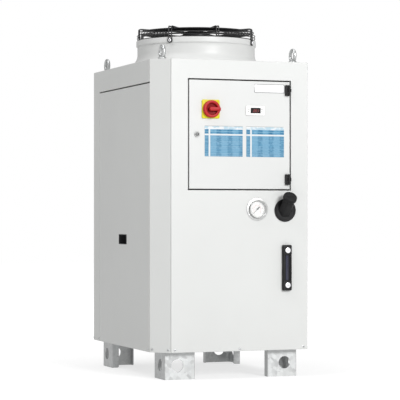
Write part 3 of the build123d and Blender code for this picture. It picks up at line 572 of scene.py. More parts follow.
    def screw(self, m, head_r, head_h, mat, kind="pan", washer=0.0, drive=None):
        """A screw head on the local xy plane: a hex head, or else a pan head with a drive recess."""
        z = 0.0
        if washer:
            self.lathe(m, [(0, 0), (washer, 0), (washer, 0.9), (washer - 0.4, 1.2), (0, 1.2)], mat, seg=32)
            z = 1.2
        if kind == "hex":
            pts = [(head_r * math.cos(math.radians(60 * k)), head_r * math.sin(math.radians(60 * k))) for k in range(6)]
            self.prism(m, pts, z, z + head_h, mat, bevel=head_r * 0.1, seg=2)
            return self
        k = head_r
        rec = k * 0.42
        dp = head_h * 0.55
        prof = [(k, z), (k, z + head_h * 0.35), (k * 0.94, z + head_h * 0.72), (k * 0.78, z + head_h * 0.94), (k * 0.58, z + head_h), (rec, z + head_h)]
        self.lathe(m, prof, mat, seg=28)
        # drive: a six-sided recess with a floor, coloured near black as painted shade
        self.lathe(m, [(rec, z + head_h), (rec * 0.92, z + head_h - dp), (0, z + head_h - dp)], drive or M["screw_hole"], seg=6)
        bm = bmesh.new()
        o = [bm.verts.new((rec * math.cos(2 * math.pi * i / 24), rec * math.sin(2 * math.pi * i / 24), z + head_h)) for i in range(24)]
        h = [bm.verts.new((rec * 0.93 * math.cos(2 * math.pi * i / 6), rec * 0.93 * math.sin(2 * math.pi * i / 6), z + head_h - 0.02)) for i in range(6)]
        for i in range(6):
            for q in range(4):
                a, b = o[(i * 4 + q) % 24], o[(i * 4 + q + 1) % 24]
                bm.faces.new((a, b, h[i] if q < 2 else h[(i + 1) % 6]))
            bm.faces.new((h[i], o[(i * 4 + 2) % 24], h[(i + 1) % 6]))
        bmesh.ops.recalc_face_normals(bm, faces=bm.faces)
        self.add(bm, m, mat)
        return self

    def done(self, body, replaces=(), slot=None, smooth=35.0, weld=True):
        if weld:
            bmesh.ops.remove_doubles(self.bm, verts=self.bm.verts, dist=0.0005)
        me = bpy.data.meshes.new(self.name)
        self.bm.to_mesh(me)
        self.bm.free()
        me.transform(TO_ROW)
        for mt in self.mats:
            me.materials.append(mt)
        me.shade_smooth()
        me.set_sharp_from_angle(angle=math.radians(smooth))
        ob = bpy.data.objects.new(self.name, me)
        bpy.context.scene.collection.objects.link(ob)
        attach(ob, body)
        if replaces:
            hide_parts(*replaces)
        return ob


def rrect(w, h, r, n=6, cx=0.0, cy=0.0):
    """A rectangle with rounded corners, anticlockwise."""
    pts = []
    for k, (sx, sy) in enumerate(((1, 1), (-1, 1), (-1, -1), (1, -1))):
        for i in range(n + 1):
            a = math.radians(90 * k + 90 * i / n)
            pts.append((cx + sx * (w / 2 - r) + r * math.cos(a), cy + sy * (h / 2 - r) + r * math.sin(a)))
    return pts


def circle(r, n=48, a0=0.0):
    return [(r * math.cos(2 * math.pi * k / n + a0), r * math.sin(2 * math.pi * k / n + a0)) for k in range(n)]


def arc_pts(cx, cz, r, a0, a1, n):
    return [(cx + r * math.cos(math.radians(a0 + (a1 - a0) * k / n)), cz + r * math.sin(math.radians(a0 + (a1 - a0) * k / n))) for k in range(n + 1)]


# ------------------------------------------------------------------ finishes of the carried-over CAD nodes
FINISH = {
    "front_panel": "panel", "left_panel": "panel", "left_band": "panel", "right_panel": "panel", "right_band": "panel",
    "rear_panel": "panel", "rear_louvres": "panel", "roof_panel": "panel", "corner_strip": "strip", "door_frame": "inner",
    "door_panel": "door", "base_frame": "galv", "foot_front_left": "galv", "foot_front_right": "galv",
    "foot_rear_left": "galv", "foot_rear_right": "galv", "electrics_tray": "galv_tray", "mounting_plate": "galv_tray",
    "din_rails": "rail", "wire_ducts": "duct", "switchgear": "device", "fan_ring": "ring", "fan_collar": "ring",
    "left_grip": "dark", "right_grip": "dark", "fan_guard": "wire", "guard_lugs": "wire", "fan_motor": "motor",
    "fan_rotor": "blade", "lifting_eyes": "eye", "gauge_case": "stainless", "gauge_dial": "dial", "gauge_glass": "glass",
    "gauge_pointer": "print_dark", "filler_neck": "black", "filler_cap": "black", "level_gauge_body": "black",
    "level_gauge_window": "tube", "level_gauge_screws": "chrome", "water_ports": "brass", "cable_gland": "black2",
    "hinge_frame_leaves": "black2", "hinge_door_leaves": "black2", "lock_housing": "zinc", "lock_core": "zinc",
    "controller": "white", "controller_display": "window", "nameplate": "plate", "switch_plate": "yellow",
    "switch_knob": "red", "side_screws": "zinc",
}
for name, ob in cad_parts.items():
    mat = M[FINISH.get(name, "panel")]
    if not ob.material_slots:
        ob.data.materials.append(mat)
    for s in ob.material_slots:
        s.material = mat

# ------------------------------------------------------------------ fan ring, spun from sheet
NECK, COLLAR = 224.2, 228.5
BC, BZ = 268.2, 1202.5       # centre of the flare's curve
ring = Build("spun_fan_ring")
out = [(BC + 2.4, 1155.1), (BC + 2.5, 1156.6), (BC + 1.9, 1157.9), (BC + 0.5, 1158.6)] + arc_pts(BC, BZ + 0.1, 44.0, -92, -180, 24)[1:]
out += [(NECK, 1218.0), (NECK, 1230.0), (NECK + 0.5, 1231.6), (NECK + 1.8, 1232.9), (COLLAR - 1.4, 1233.8), (COLLAR - 0.3, 1234.9), (COLLAR, 1236.6), (COLLAR, 1244.0)]
out += [(COLLAR, 1251.4)] + arc_pts(COLLAR - 1.7, 1253.05, 1.7, 0, 180, 8)
inn = [(COLLAR - 3.4, 1250.8), (COLLAR - 3.0, 1237.5), (NECK - 0.4, 1234.4), (NECK - 2.2, 1232.4), (NECK - 2.5, 1230.0), (NECK - 2.5, BZ)]
inn += arc_pts(BC, BZ, 46.5, -180, -90, 24)[1:]
inn += [(BC + 0.1, 1155.1)]
ring.lathe(up(FAN[0], FAN[1], 0), out + inn, M["ring"], seg=224, closed=True)
ring.done("cabinet", ["fan_ring", "fan_collar"], "ring_paint", smooth=50)

# ------------------------------------------------------------------ wire guard
W = 1.7                     # radius of a ring's wire
guard = Build("wire_guard")
C = up(FAN[0], FAN[1], 0)
for k in range(11):
    R = 219.5 - 10.0 * k
    guard.torus(C @ Matrix.Translation((0, 0, 1288.0)), R, W, M["wire"], segR=max(72, int(R * 0.64)), segr=8)
for z in (1256.55, 1265.75, 1275.0):
    guard.torus(C @ Matrix.Translation((0, 0, z)), 224.8, W * 0.95, M["wire"], segR=144, segr=8)
A = 2.45                    # radius of an arm's wire
ZT = 1294.7                 # centre line of the arms at the shoulder


def arm_line(dy, eyelet):
    """Half of a hairpin arm: from the hub outwards, over the shoulder, and down."""
    pts = [(50.0, dy, ZT - 2.4), (80.0, dy, ZT - 2.4), (130.0, dy, ZT - 2.2), (170.0, dy, ZT - 1.6), (200.0, dy, ZT - 0.6), (214.0, dy, ZT - 0.1), (221.0, dy, ZT)]
    for i in range(0, 8):
        a = math.radians(90 * i / 7)
        pts.append((224.0 + 5.2 * math.sin(a), dy, ZT - 5.2 + 5.2 * math.cos(a)))
    return pts


for k in range(8):
    T = up(FAN[0], FAN[1], 0, 45.0 * k)
    diag = k % 2 == 1
    half = 5.8 if diag else 4.6
    if diag:
        # a hairpin: both wires meet in an eye screwed to the collar
        R0, zc, rr = 231.5, 1242.0, 8.2
        side = arm_line(-half, True)
        last = side[-1]
        side += [(229.3, -half, 1276.0), (229.5, -half, 1266.0), (230.3, -half, 1259.0), (231.3, -half, 1252.5)]
        loop = []
        for i in range(0, 25):
            a = math.radians(128 + (412 - 128) * i / 24.0)
            loop.append((R0, rr * math.cos(a), zc + rr * math.sin(a)))
        other = [(x, -y, z) for x, y, z in reversed(side)]
        guard.tube(T, side + loop + other, A, M["wire"], seg=10)
    else:
        side = arm_line(-half, False)
        side += [(229.2, -half, 1276.0), (229.2, -half, 1266.0), (229.2, -half + 0.3, 1262.5)]
        turn = []
        for i in range(1, 8):
            a = math.radians(180 + 180 * i / 8)
            turn.append((229.2, half * 0.93 * math.cos(a), 1262.0 + 4.2 * math.sin(a)))
        other = [(x, -y, z) for x, y, z in reversed(side)]
        guard.tube(T, side + turn + other, A, M["wire"], seg=10)
# centre plate, on which the arms are welded
guard.lathe(C, [(44.4, 1287.9), (62.2, 1287.9), (63.4, 1288.4), (63.4, 1289.4), (62.2, 1290.0), (52.0, 1290.1), (44.4, 1290.1)], M["wire"], seg=72, closed=True)
guard.done("cabinet", ["fan_guard", "guard_lugs"], "black_wire", smooth=60)

bolts = Build("guard_bolts")
for k in range(4):
    T = up(FAN[0], FAN[1], 0, 45.0 + 90.0 * k) @ axes((COLLAR, 0, 1242.0), (0, 1, 0), (0, 0, 1))
    bolts.lathe(T, [(0, 0.1), (7.6, 0.1), (7.6, 1.5), (7.2, 1.9), (0, 1.9)], M["chrome"], seg=36)
    bolts.lathe(T, [(0, 1.5), (5.1, 1.5), (5.1, 5.2), (0, 5.2)], M["chrome"], seg=24)
    bolts.screw(T @ Matrix.Translation((0, 0, 5.2)), 5.8, 3.3, M["chrome"], "pan")
bolts.done("cabinet", smooth=40)

# ------------------------------------------------------------------ fan motor: outer rotor type with cooling ribs
mot = Build("motor_body")
mot.lathe(C, [(0, 1231.5), (34.0, 1231.5), (39.0, 1232.4), (48.0, 1236.0), (51.4, 1239.5), (51.9, 1243.0), (51.9, 1279.5), (51.2, 1282.4), (49.0, 1284.8), (43.2, 1285.6),
              (43.2, 1290.3), (42.0, 1292.2), (39.5, 1292.9), (36.0, 1293.0), (34.5, 1292.0), (19.0, 1291.6), (17.5, 1292.6), (0, 1292.8)], M["motor"], seg=72)
for k in range(36):
    a = 10.0 * k
    mot.box(up(FAN[0], FAN[1], 0, a) @ Matrix.Translation((47.6, 0, 1261.0)), 8.4, 2.0, 36.0, M["motor"], bevel=0.6)
for k in range(4):
    mot.screw(up(FAN[0], FAN[1], 1292.4, 45.0 + 90.0 * k) @ Matrix.Translation((38.0, 0, -0.7)), 2.6, 1.1, M["zinc"], "pan")
mot.box(up(FAN[0], FAN[1], 0, 112.0) @ Matrix.Translation((54.4, 0, 1276.0)), 9.0, 16.0, 11.0, M["black"], bevel=1.6)
mot.done("cabinet", ["fan_motor"], "black_motor", smooth=40)

# ------------------------------------------------------------------ fan wheel with swept blades
wheel = Build("swept_fan_wheel")
wheel.lathe(C, [(0, 1158.4), (22.0, 1158.4), (38.0, 1159.4), (45.0, 1162.0), (48.6, 1166.5), (49.8, 1172.0), (49.8, 1216.0), (48.8, 1222.0), (45.0, 1226.4), (40.0, 1227.0), (9.0, 1227.0), (8.0, 1228.0), (8.0, 1249.5), (0, 1249.5)], M["blade"], seg=72)
for k in range(6):
    wheel.screw(up(FAN[0], FAN[1], 1158.4, 60.0 * k) @ Matrix.Translation((30.0, 0, 0.4)) @ Matrix.Rotation(math.pi, 4, "X"), 3.2, 1.8, M["zinc"], "pan")
NB, NU, NV = 7, 18, 14
for k in range(NB):
    bm = bmesh.new()
    top, bot = [], []
    for i in range(NU + 1):
        u = i / NU
        r = 47.5 + (214.6 - 47.5) * u
        sweep = math.radians(4.0 + 26.0 * u ** 1.7)                # the blade leans forward towards its tip
        chord = (74.0 + 52.0 * math.sin(math.pi * min(1.0, 0.12 + 0.66 * u)))   # arc length at this radius
        pitch = math.radians(34.0 - 13.0 * u)
        rt, rb = [], []
        for j in range(NV + 1):
            v = j / NV - 0.5
            along = chord * v
            ang = sweep + along * math.cos(pitch) / r
            zc = 1193.0 + along * math.sin(pitch) + 6.0 * math.cos(math.pi * v)
            th = (3.0 - 0.9 * u) * math.sqrt(max(0.02, 1 - (2 * v) ** 2)) * 0.5 + 0.45
            rr = r - (2.2 * (2 * v) ** 4 if i == NU else 0.0)
            x, y = rr * math.cos(ang), rr * math.sin(ang)
            rt.append(bm.verts.new((x, y, min(1221.5, zc + th))))
            rb.append(bm.verts.new((x, y, max(1164.5, zc - th))))
        top.append(rt)
        bot.append(rb)
    for i in range(NU):
        for j in range(NV):
            bm.faces.new((top[i][j], top[i + 1][j], top[i + 1][j + 1], top[i][j + 1]))
            bm.faces.new((bot[i][j], bot[i][j + 1], bot[i + 1][j + 1], bot[i + 1][j]))
    for i in range(NU):
        bm.faces.new((top[i][0], bot[i][0], bot[i + 1][0], top[i + 1][0]))
        bm.faces.new((top[i][NV], top[i + 1][NV], bot[i + 1][NV], bot[i][NV]))
    for j in range(NV):
        bm.faces.new((top[0][j], top[0][j + 1], bot[0][j + 1], bot[0][j]))
        bm.faces.new((top[NU][j], bot[NU][j], bot[NU][j + 1], top[NU][j + 1]))
    bmesh.ops.recalc_face_normals(bm, faces=bm.faces)
    wheel.add(bm, up(FAN[0], FAN[1], 0, 360.0 / NB * k), M["blade"])
wheel.done("fan_wheel", ["fan_rotor"], "black_motor", smooth=40)

# ------------------------------------------------------------------ lifting eyes: forged ring, waist, collar
for nm, sx, sy in (("front_left", -1, -1), ("front_right", 1, -1), ("rear_left", -1, 1), ("rear_right", 1, 1)):
    e = Build("eye_bolt_" + nm)
    T = up(sx * 255.0, sy * 330.0, 1155.0)
    # the ring is thicker at its foot, where it runs out into the collar
    segR, segr = 56, 16
    bm = bmesh.new()
    rings = []
    for i in range(segR):
        a = 2 * math.pi * i / segR - math.pi / 2
        low = max(0.0, -math.sin(a))
        rt = 5.7 + 1.1 * low ** 3
        rings.append([bm.verts.new(((rt * 1.06 + 1.2 * low ** 4) * math.sin(2 * math.pi * q / segr), (21.0 + rt * math.cos(2 * math.pi * q / segr)) * math.cos(a), 26.4 + (21.0 + rt * math.cos(2 * math.pi * q / segr)) * math.sin(a))) for q in range(segr)])
    for i in range(segR):
        for q in range(segr):
            bm.faces.new((rings[i][q], rings[(i + 1) % segR][q], rings[(i + 1) % segR][(q + 1) % segr], rings[i][(q + 1) % segr]))
    for v in bm.verts:
        v.co.z = max(v.co.z, 3.0)
    bmesh.ops.recalc_face_normals(bm, faces=bm.faces)
    e.add(bm, T, M["eye"])
    e.lathe(T, [(0, 0.1), (14.6, 0.1), (15.0, 0.6), (15.0, 4.2), (14.2, 5.6), (12.0, 6.6), (10.2, 8.0), (8.6, 10.5), (6.0, 12.0), (0, 12.4)], M["eye"], seg=40)
    e.lathe(T, [(5.9, -20.0), (5.9, 0.5), (0, 0.5)], M["zinc"], seg=24)
    e.lathe(T, [(0, -20.0), (5.9, -20.0)], M["zinc"], seg=24)
    ob = e.done("cabinet", smooth=60)
    if nm == "front_left":
        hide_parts("lifting_eyes")

# ------------------------------------------------------------------ screws in the panels
scr = Build("panel_screws")
for x, z in ((-220.7, 110.5), (29.6, 108.5), (280.6, 110.5)):
    scr.screw(front(x, z), 4.4, 2.3, M["zinc"], "pan")
S = axes((XL + 30.25, YF + 30.25, 0), (1, -1, 0), (0, 0, 1))
for x in (-31.0, 33.0):
    scr.screw(S @ Matrix.Translation((x, 110.5, 0.0)), 4.4, 2.2, M["zinc"], "pan")
for x, z in ((-262.0, 112.0), (0.0, 112.0), (262.0, 112.0), (-262.0, 1138.0), (262.0, 1138.0), (0.0, 1138.0), (-262.0, 620.0), (262.0, 620.0)):
    scr.screw(rear(-x, z), 4.4, 2.3, M["zinc"], "pan")
for x, y in ((-270.0, -270.0), (270.0, -300.0), (-270.0, 0.0), (270.0, 0.0), (-200.0, 352.0), (200.0, 352.0), (0.0, 352.0), (-180.0, -350.0), (180.0, -350.0)):
    scr.screw(up(x, y, 1155.0), 4.4, 2.2, M["zinc"], "pan")
scr.done("cabinet", smooth=40)

side = Build("side_screw_heads")
for place, sgn in ((left, -1), (right, 1)):
    for y, z in ((-296.0, 110.5), (303.5, 110.5), (363.5, 110.5)):
        side.screw(place(y, z, 0.05), 4.6, 2.35, M["zinc"], "pan")
side.done("cabinet", ["side_screws"], "bright_steel", smooth=40)

# ------------------------------------------------------------------ pressure gauge
PG = (97.4, 615.4)
G = front(*PG)
g = Build("gauge_flange_and_bezel")
g.lathe(G, [(29.6, 0.3), (41.5, 0.3), (42.0, 0.7), (42.0, 1.5), (41.5, 2.1), (35.0, 2.3), (34.0, 2.6), (33.6, 3.6), (33.6, 9.4), (33.2, 11.0), (32.0, 11.9), (30.8, 11.9), (29.9, 11.0), (29.8, 10.2), (29.8, 8.0), (29.9, -0.2), (29.6, -0.2)], M["stainless"], seg=96, closed=True)
g.lathe(G, [(0, -29.5), (30.0, -29.5), (31.4, -28.0), (31.4, 0.4), (29.9, 0.4), (29.9, -0.9), (0, -0.9)], M["stainless"], seg=64)
for a in (90, 211, 329):
    g.screw(G @ Matrix.Translation((38.0 * math.cos(math.radians(a)), 38.0 * math.sin(math.radians(a)), 2.1)), 2.5, 1.4, M["chrome"], "pan")
g.done("cabinet", ["gauge_case"], "bright_steel", smooth=35)

d = Build("gauge_dial_face")
d.lathe(G, [(3.2, -0.5), (29.6, -0.5), (29.7, 0.1), (29.2, 0.5), (3.2, 0.5)], M["dial"], seg=72, closed=True)


def sector(b, m, r0, r1, a0, a1, z, mat, n=24):
    bm = bmesh.new()
    ins = [bm.verts.new((r0 * math.cos(math.radians(a0 + (a1 - a0) * i / n)), r0 * math.sin(math.radians(a0 + (a1 - a0) * i / n)), z)) for i in range(n + 1)]
    ots = [bm.verts.new((r1 * math.cos(math.radians(a0 + (a1 - a0) * i / n)), r1 * math.sin(math.radians(a0 + (a1 - a0) * i / n)), z)) for i in range(n + 1)]
    for i in range(n):
        bm.faces.new((ins[i], ots[i], ots[i + 1], ins[i + 1]))
    for f in bm.faces:
        f.normal_update()
        if f.normal.z < 0:
            f.normal_flip()
    b.add(bm, m, mat)


sector(d, G, 27.6, 28.1, -45, 225, 0.58, M["print_dark"], 60)
for i in range(51):
    a = 225 - 270 * i / 50.0
    long = i % 5 == 0
    sector(d, G, 24.2 if long else 25.8, 27.6, a - (0.8 if long else 0.4), a + (0.8 if long else 0.4), 0.58, M["print_dark"], 1)
sector(d, G, 15.0, 15.5, -45, 225, 0.58, M["print_red"], 48)
for i in range(28):
    a = 225 - 270 * i / 27.0
    long = i % 3 == 0
    sector(d, G, 12.2 if long else 13.4, 15.0, a - (1.3 if long else 0.7), a + (1.3 if long else 0.7), 0.58, M["print_red"], 1)
d.done("cabinet", ["gauge_dial"], "dial_white", smooth=35)


def label(text, name, m, size, mat, body):
    """Plain figures, turned into a thin mesh."""
    cu = bpy.data.curves.new(name, "FONT")
    cu.body = text
    cu.size = size
    cu.align_x, cu.align_y = "CENTER", "CENTER"
    cu.resolution_u = 3
    cu.extrude = 0.0
    tmp = bpy.data.objects.new(name + "_t", cu)
    me = bpy.data.meshes.new_from_object(tmp)
    bpy.data.objects.remove(tmp)
    me.transform(TO_ROW @ m)
    me.materials.clear()
    me.materials.append(mat)
    ob = bpy.data.objects.new(name, me)
    bpy.context.scene.collection.objects.link(ob)
    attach(ob, body)
    return ob


for i in range(6):
    a = math.radians(225 - 270 * i / 5.0)
    label(str(i * 2), f"dial_figure_{i}", G @ Matrix.Translation((20.2 * math.cos(a), 20.2 * math.sin(a), 0.60)), 5.2, M["print_dark"], "cabinet")

pn = Build("gauge_hand_needle")
P = G @ Matrix.Rotation(math.radians(135), 4, "Z")
pn.prism(P, [(-1.0, 0.0), (-0.35, 24.3), (0.35, 24.3), (1.0, 0.0), (1.2, -3.0), (2.3, -4.4), (2.5, -10.4), (1.8, -11.4), (-1.8, -11.4), (-2.5, -10.4), (-2.3, -4.4), (-1.2, -3.0)][::-1], 2.6, 3.6, M["print_dark"], bevel=0.2)
pn.lathe(P, [(0, 2.2), (3.4, 2.2), (3.4, 4.0), (2.9, 4.6), (0, 4.8)], M["print_dark"], seg=28)
pn.lathe(P, [(0, -3.5), (1.4, -3.5), (1.4, 2.4), (0, 2.4)], M["zinc"], seg=16)
pn.done("gauge_hand", ["gauge_pointer"], "pointer_black", smooth=35)

gl = Build("gauge_lens_disc")
gl.lathe(G, [(0, 8.2), (29.2, 8.2), (29.7, 8.6), (29.7, 9.3), (28.8, 9.9), (20.0, 10.15), (10.0, 10.25), (0, 10.3)], M["glass"], seg=72)
gl.done("cabinet", ["gauge_glass"], "clear_glass", smooth=50)

# ------------------------------------------------------------------ filler: dished flange, six-sided neck, ribbed cap
FX, FZ = 206.5, 611.0
ta = math.radians(46.0)
ND = Vector((0, -math.cos(ta), math.sin(ta)))
ELB = Vector((FX, YF - 13.0, FZ + 9.5))
CAP0 = ELB + ND * 42.0
F = front(FX, FZ)
fl = Build("filler_flange_and_neck")
fl.lathe(F, [(0, -29.5), (20.8, -29.5), (20.8, 0.3), (41.0, 0.3), (41.9, 1.0), (42.0, 2.2), (41.4, 4.2), (39.6, 5.7), (37.4, 6.1), (35.2, 5.5), (33.6, 4.4), (0, 4.4)], M["black"], seg=96)
b0 = [Vector((FX + 27.0 * math.cos(math.radians(60 * k)), YF - 3.0, FZ + 27.0 * math.sin(math.radians(60 * k)))) for k in range(6)]
b1 = [Vector((FX + 27.0 * math.cos(math.radians(60 * k)), YF - 6.2, FZ + 27.0 * math.sin(math.radians(60 * k)))) for k in range(6)]
top_c = CAP0 - ND * 1.0
e2 = Vector((0, math.sin(ta), math.cos(ta)))
hexr = [(22.5 * math.cos(math.radians(60 * k)), 22.5 * math.sin(math.radians(60 * k))) for k in range(6)]
b2 = [top_c + Vector((1, 0, 0)) * x + e2 * y for x, y in hexr]
bm = bmesh.new()
levels = [b0, b1, [b1[k].lerp(b2[k], 0.5) for k in range(6)], b2]
vr = [[bm.verts.new(p) for p in lv] for lv in levels]
for i in range(len(vr) - 1):
    for k in range(6):
        j = (k + 1) % 6
        bm.faces.new((vr[i][k], vr[i][j], vr[i + 1][j], vr[i + 1][k]))
bm.faces.new(vr[-1])
bm.faces.new(list(reversed(vr[0])))
bmesh.ops.recalc_face_normals(bm, faces=bm.faces)
sharp = [e for e in bm.edges if len(e.link_faces) == 2 and e.calc_face_angle(0) > math.radians(20)]
bmesh.ops.bevel(bm, geom=sharp, offset=1.3, segments=3, profile=0.5, affect="EDGES", clamp_overlap=True)
fl.add(bm, Matrix.Identity(4), M["black"])
NK = axes(CAP0, (1, 0, 0), tuple(e2))
fl.lathe(NK, [(0, -2.0), (15.4, -2.0), (15.4, 12.0), (16.2, 12.3), (18.2, 12.3), (18.5, 11.6), (18.5, -1.5), (20.4, -1.6), (20.4, -2.4), (0, -2.4)], M["black"], seg=48)
fl.done("cabinet", ["filler_neck"], "black_plastic", smooth=32)

cap = Build("filler_cap_ribbed")
cap.lathe(NK, [(19.0, 0.4), (24.4, 0.4), (24.9, 0.9), (24.9, 13.0), (24.4, 14.6), (23.2, 15.7), (21.0, 16.1), (19.4, 15.8), (18.8, 15.1), (0, 15.1)], M["black"], seg=72)
cap.lathe(NK, [(0, 12.5), (19.0, 12.5), (19.0, 0.4)], M["black"], seg=48)
for k in range(30):
    a = 12.0 * k
    cap.box(NK @ Matrix.Rotation(math.radians(a), 4, "Z") @ Matrix.Translation((24.8, 0, 7.0)), 1.5, 1.9, 12.2, M["black"], bevel=0.5)
cap.prism(NK, rrect(26.0, 5.2, 2.2), 15.1, 16.1, M["black"], bevel=0.5)
cap.done("tank_cap", ["filler_cap"], "black_plastic", smooth=38)

# ------------------------------------------------------------------ level gauge: moulded frame, sight tube, two cap screws
LX, LZ = 211.5, 401.0
L = front(LX, LZ)
lv = Build("level_gauge_frame")
lv.prism(L, rrect(33.6, 166.8, 4.0), 0.15, 10.4, M["black"], bevel=1.0, seg=3)
for s in (-1, 1):
    lv.prism(L, rrect(33.2, 36.8, 4.0, cy=s * 64.9), 9.0, 14.9, M["black"], bevel=1.6, seg=3)
    lv.lathe(L @ Matrix.Translation((0, s * 63.5, 0)), [(0, 14.6), (12.0, 14.6), (12.8, 14.9), (12.8, 14.95), (0, 14.95)], M["black2"], seg=40)
for s in (-1, 1):
    lv.box(L @ Matrix.Translation((s * 13.6, 0, 7.5)), 6.0, 96.0, 14.6, M["black2"], bevel=2.0, seg=3)
    lv.lathe(L @ Matrix.Translation((0, s * 48.5, 10.0)) @ Matrix.Rotation(math.radians(90 * s), 4, "X") @ Matrix.Translation((0, 0, -5.0)), [(0, 0), (6.0, 0), (6.0, 7.5), (5.2, 8.2), (0, 8.2)], M["black"], seg=28)
lv.done("cabinet", ["level_gauge_body"], "black_plastic", smooth=35)
tb = Build("level_sight_tube")
tb.lathe(L @ Matrix.Translation((0, 0, 7.6)) @ Matrix.Rotation(math.radians(90), 4, "X"), [(0, -49.2), (7.1, -49.2), (7.1, 49.2), (0, 49.2)], M["tube"], seg=40)
tb.done("cabinet", ["level_gauge_window"], "window_blue", smooth=50)
ls = Build("level_gauge_cap_screws")
for s in (-1, 1):
    T = L @ Matrix.Translation((0, s * 63.5, 15.0))
    ls.lathe(T, [(0, 0.0), (9.9, 0.0), (10.0, 0.5), (10.0, 3.2), (9.4, 4.1), (8.0, 4.45), (4.4, 4.45), (4.0, 4.0), (3.9, 2.4), (0, 2.4)], M["chrome"], seg=48)
    ls.lathe(T, [(3.7, 3.2), (0, 3.2)], M["zinc"], seg=6)
ls.done("cabinet", ["level_gauge_screws"], "chrome", smooth=35)

# ------------------------------------------------------------------ main switch
SX, SZ = -84.8, 976.0
W0 = front(SX, SZ)
sp = Build("switch_escutcheon")
sp.prism(W0, rrect(67.5, 67.5, 4.5), 0.25, 4.9, M["yellow"], bevel=1.3, seg=3)
sp.lathe(W0, [(11.4, -14.0), (11.4, 0.4), (0, 0.4)], M["black"], seg=36)
sp.box(W0 @ Matrix.Translation((0, 0, -40.0)), 48.0, 48.0, 39.6, M["black2"], bevel=2.0)
sp.box(W0 @ Matrix.Translation((0, 0, -17.0)), 40.0, 40.0, 8.0, M["device_dark"], bevel=1.5)
for sx_ in (-1, 1):
    for sz_ in (-1, 1):
        sp.screw(W0 @ Matrix.Translation((18.0 * sx_, 18.0 * sz_, -60.0)) @ Matrix.Rotation(math.pi, 4, "Y"), 2.6, 1.0, M["zinc"], "pan")
# position marks moulded into the plate
for a in (0, 90):
    T = W0 @ Matrix.Rotation(math.radians(a), 4, "Z")
    sp.prism(T, [(29.6, -1.0), (31.6, -1.0), (31.6, 1.0), (29.6, 1.0)], 4.8, 5.05, M["print_dark"], bevel=0.0)
sp.done("door", ["switch_plate"], "yellow_plastic", smooth=35)


def knob_outline(R, tip, half, a_cut, n=40):
    """A round body that runs out into a blunt pointer at +x."""
    pts = []
    for i in range(n + 1):
        a = math.radians(a_cut + (360 - 2 * a_cut) * i / n)
        pts.append((R * math.cos(a), R * math.sin(a)))
    pts += [(tip - 2.6, -half), (tip - 0.8, -half + 1.2), (tip, -half + 3.4), (tip, half - 3.4), (tip - 0.8, half - 1.2), (tip - 2.6, half)]
    return pts


kb = Build("switch_handle_body")
body_o = knob_outline(31.4, 34.2, 6.2, 26)
ang = [math.atan2(y, x) for x, y in body_o]
body_i = []
for x, y in body_o:
    a = math.atan2(y, x)
    body_i.append((22.0 * math.cos(a), 22.0 * math.sin(a)))
# skirt, body wall, rounded rim, then the recess
bm = bmesh.new()
rows = []
n_o = len(body_o)
for scale_, z in ((1.0, 5.8), (1.0, 15.5), (0.995, 17.2), (0.975, 18.6), (0.945, 19.3)):
    rows.append([bm.verts.new((x * scale_, y * scale_, z)) for x, y in body_o])
for f_, z in ((1.045, 19.3), (1.0, 18.6), (0.975, 17.0), (0.95, 9.0)):
    rows.append([bm.verts.new((x * f_, y * f_, z)) for x, y in body_i])
for i in range(len(rows) - 1):
    for k in range(n_o):
        j = (k + 1) % n_o
        bm.faces.new((rows[i][k], rows[i][j], rows[i + 1][j], rows[i + 1][k]))
bm.faces.new(list(reversed(rows[0])))
bmesh.ops.recalc_face_normals(bm, faces=bm.faces)
kb.add(bm, W0, M["red"])
# the recess floor is coloured with the darker red as painted shade
kb.lathe(W0, [(21.2, 9.6), (18.0, 8.4), (0, 8.2)], M["red_deep"], seg=64)
# the bar that is turned, from the hub out over the pointer, with finger hollows beside it
bar = [(-8.6, -6.2), (-4.0, -7.2), (8.0, -7.0), (18.0, -6.4), (25.0, -6.2), (29.4, -5.4), (31.2, -3.6), (31.6, 0.0), (31.2, 3.6), (29.4, 5.4), (25.0, 6.2), (18.0, 6.4), (8.0, 7.0), (-4.0, 7.2), (-8.6, 6.2), (-10.6, 3.6), (-11.2, 0.0), (-10.6, -3.6)]
kb.prism(W0, bar, 8.0, 24.8, M["red"], bevel=2.6, seg=4)
# padlock slots in the body's flank, a line on the bar and the spindle
# the slots and the line on the bar take the darker red as painted shade
for a in (128, 180, 232):
    kb.box(W0 @ Matrix.Rotation(math.radians(a), 4, "Z") @ Matrix.Translation((30.0, 0, 10.0)), 1.6, 8.0, 5.0, M["red_deep"], bevel=0.5)
kb.prism(W0, [(24.0, -0.7), (28.6, -0.6), (28.6, 0.6), (24.0, 0.7)], 24.7, 24.95, M["red_deep"], bevel=0.0)
kb.lathe(W0, [(0, -17.5), (4.9, -17.5), (4.9, 6.0), (0, 6.0)], M["zinc"], seg=4)
kb.done("switch_handle", ["switch_knob"], "red_plastic", smooth=38)

# ------------------------------------------------------------------ controller
CX, CZ = 88.2, 973.7
K = front(CX, CZ)
ct = Build("controller_case")
ct.ringprism(K, rrect(72.0, 35.0, 3.2), rrect(39.2, 20.2, 1.2, cx=0.9), 0.25, 4.7, M["white"], bevel=0.9)
# gasket band round the case, partly a painted shade line at its edge
ct.ringprism(K, rrect(73.6, 36.6, 3.6), rrect(70.0, 33.0, 3.0), 0.1, 0.8, M["gasket"], bevel=0.0)
ct.box(K @ Matrix.Translation((0, 0, -14.4)), 67.2, 28.2, 28.0, M["device_dark"], bevel=1.2)
ct.box(K @ Matrix.Translation((0, -1.0, -27.6)), 58.0, 12.0, 2.0, M["term_green"], bevel=0.5)
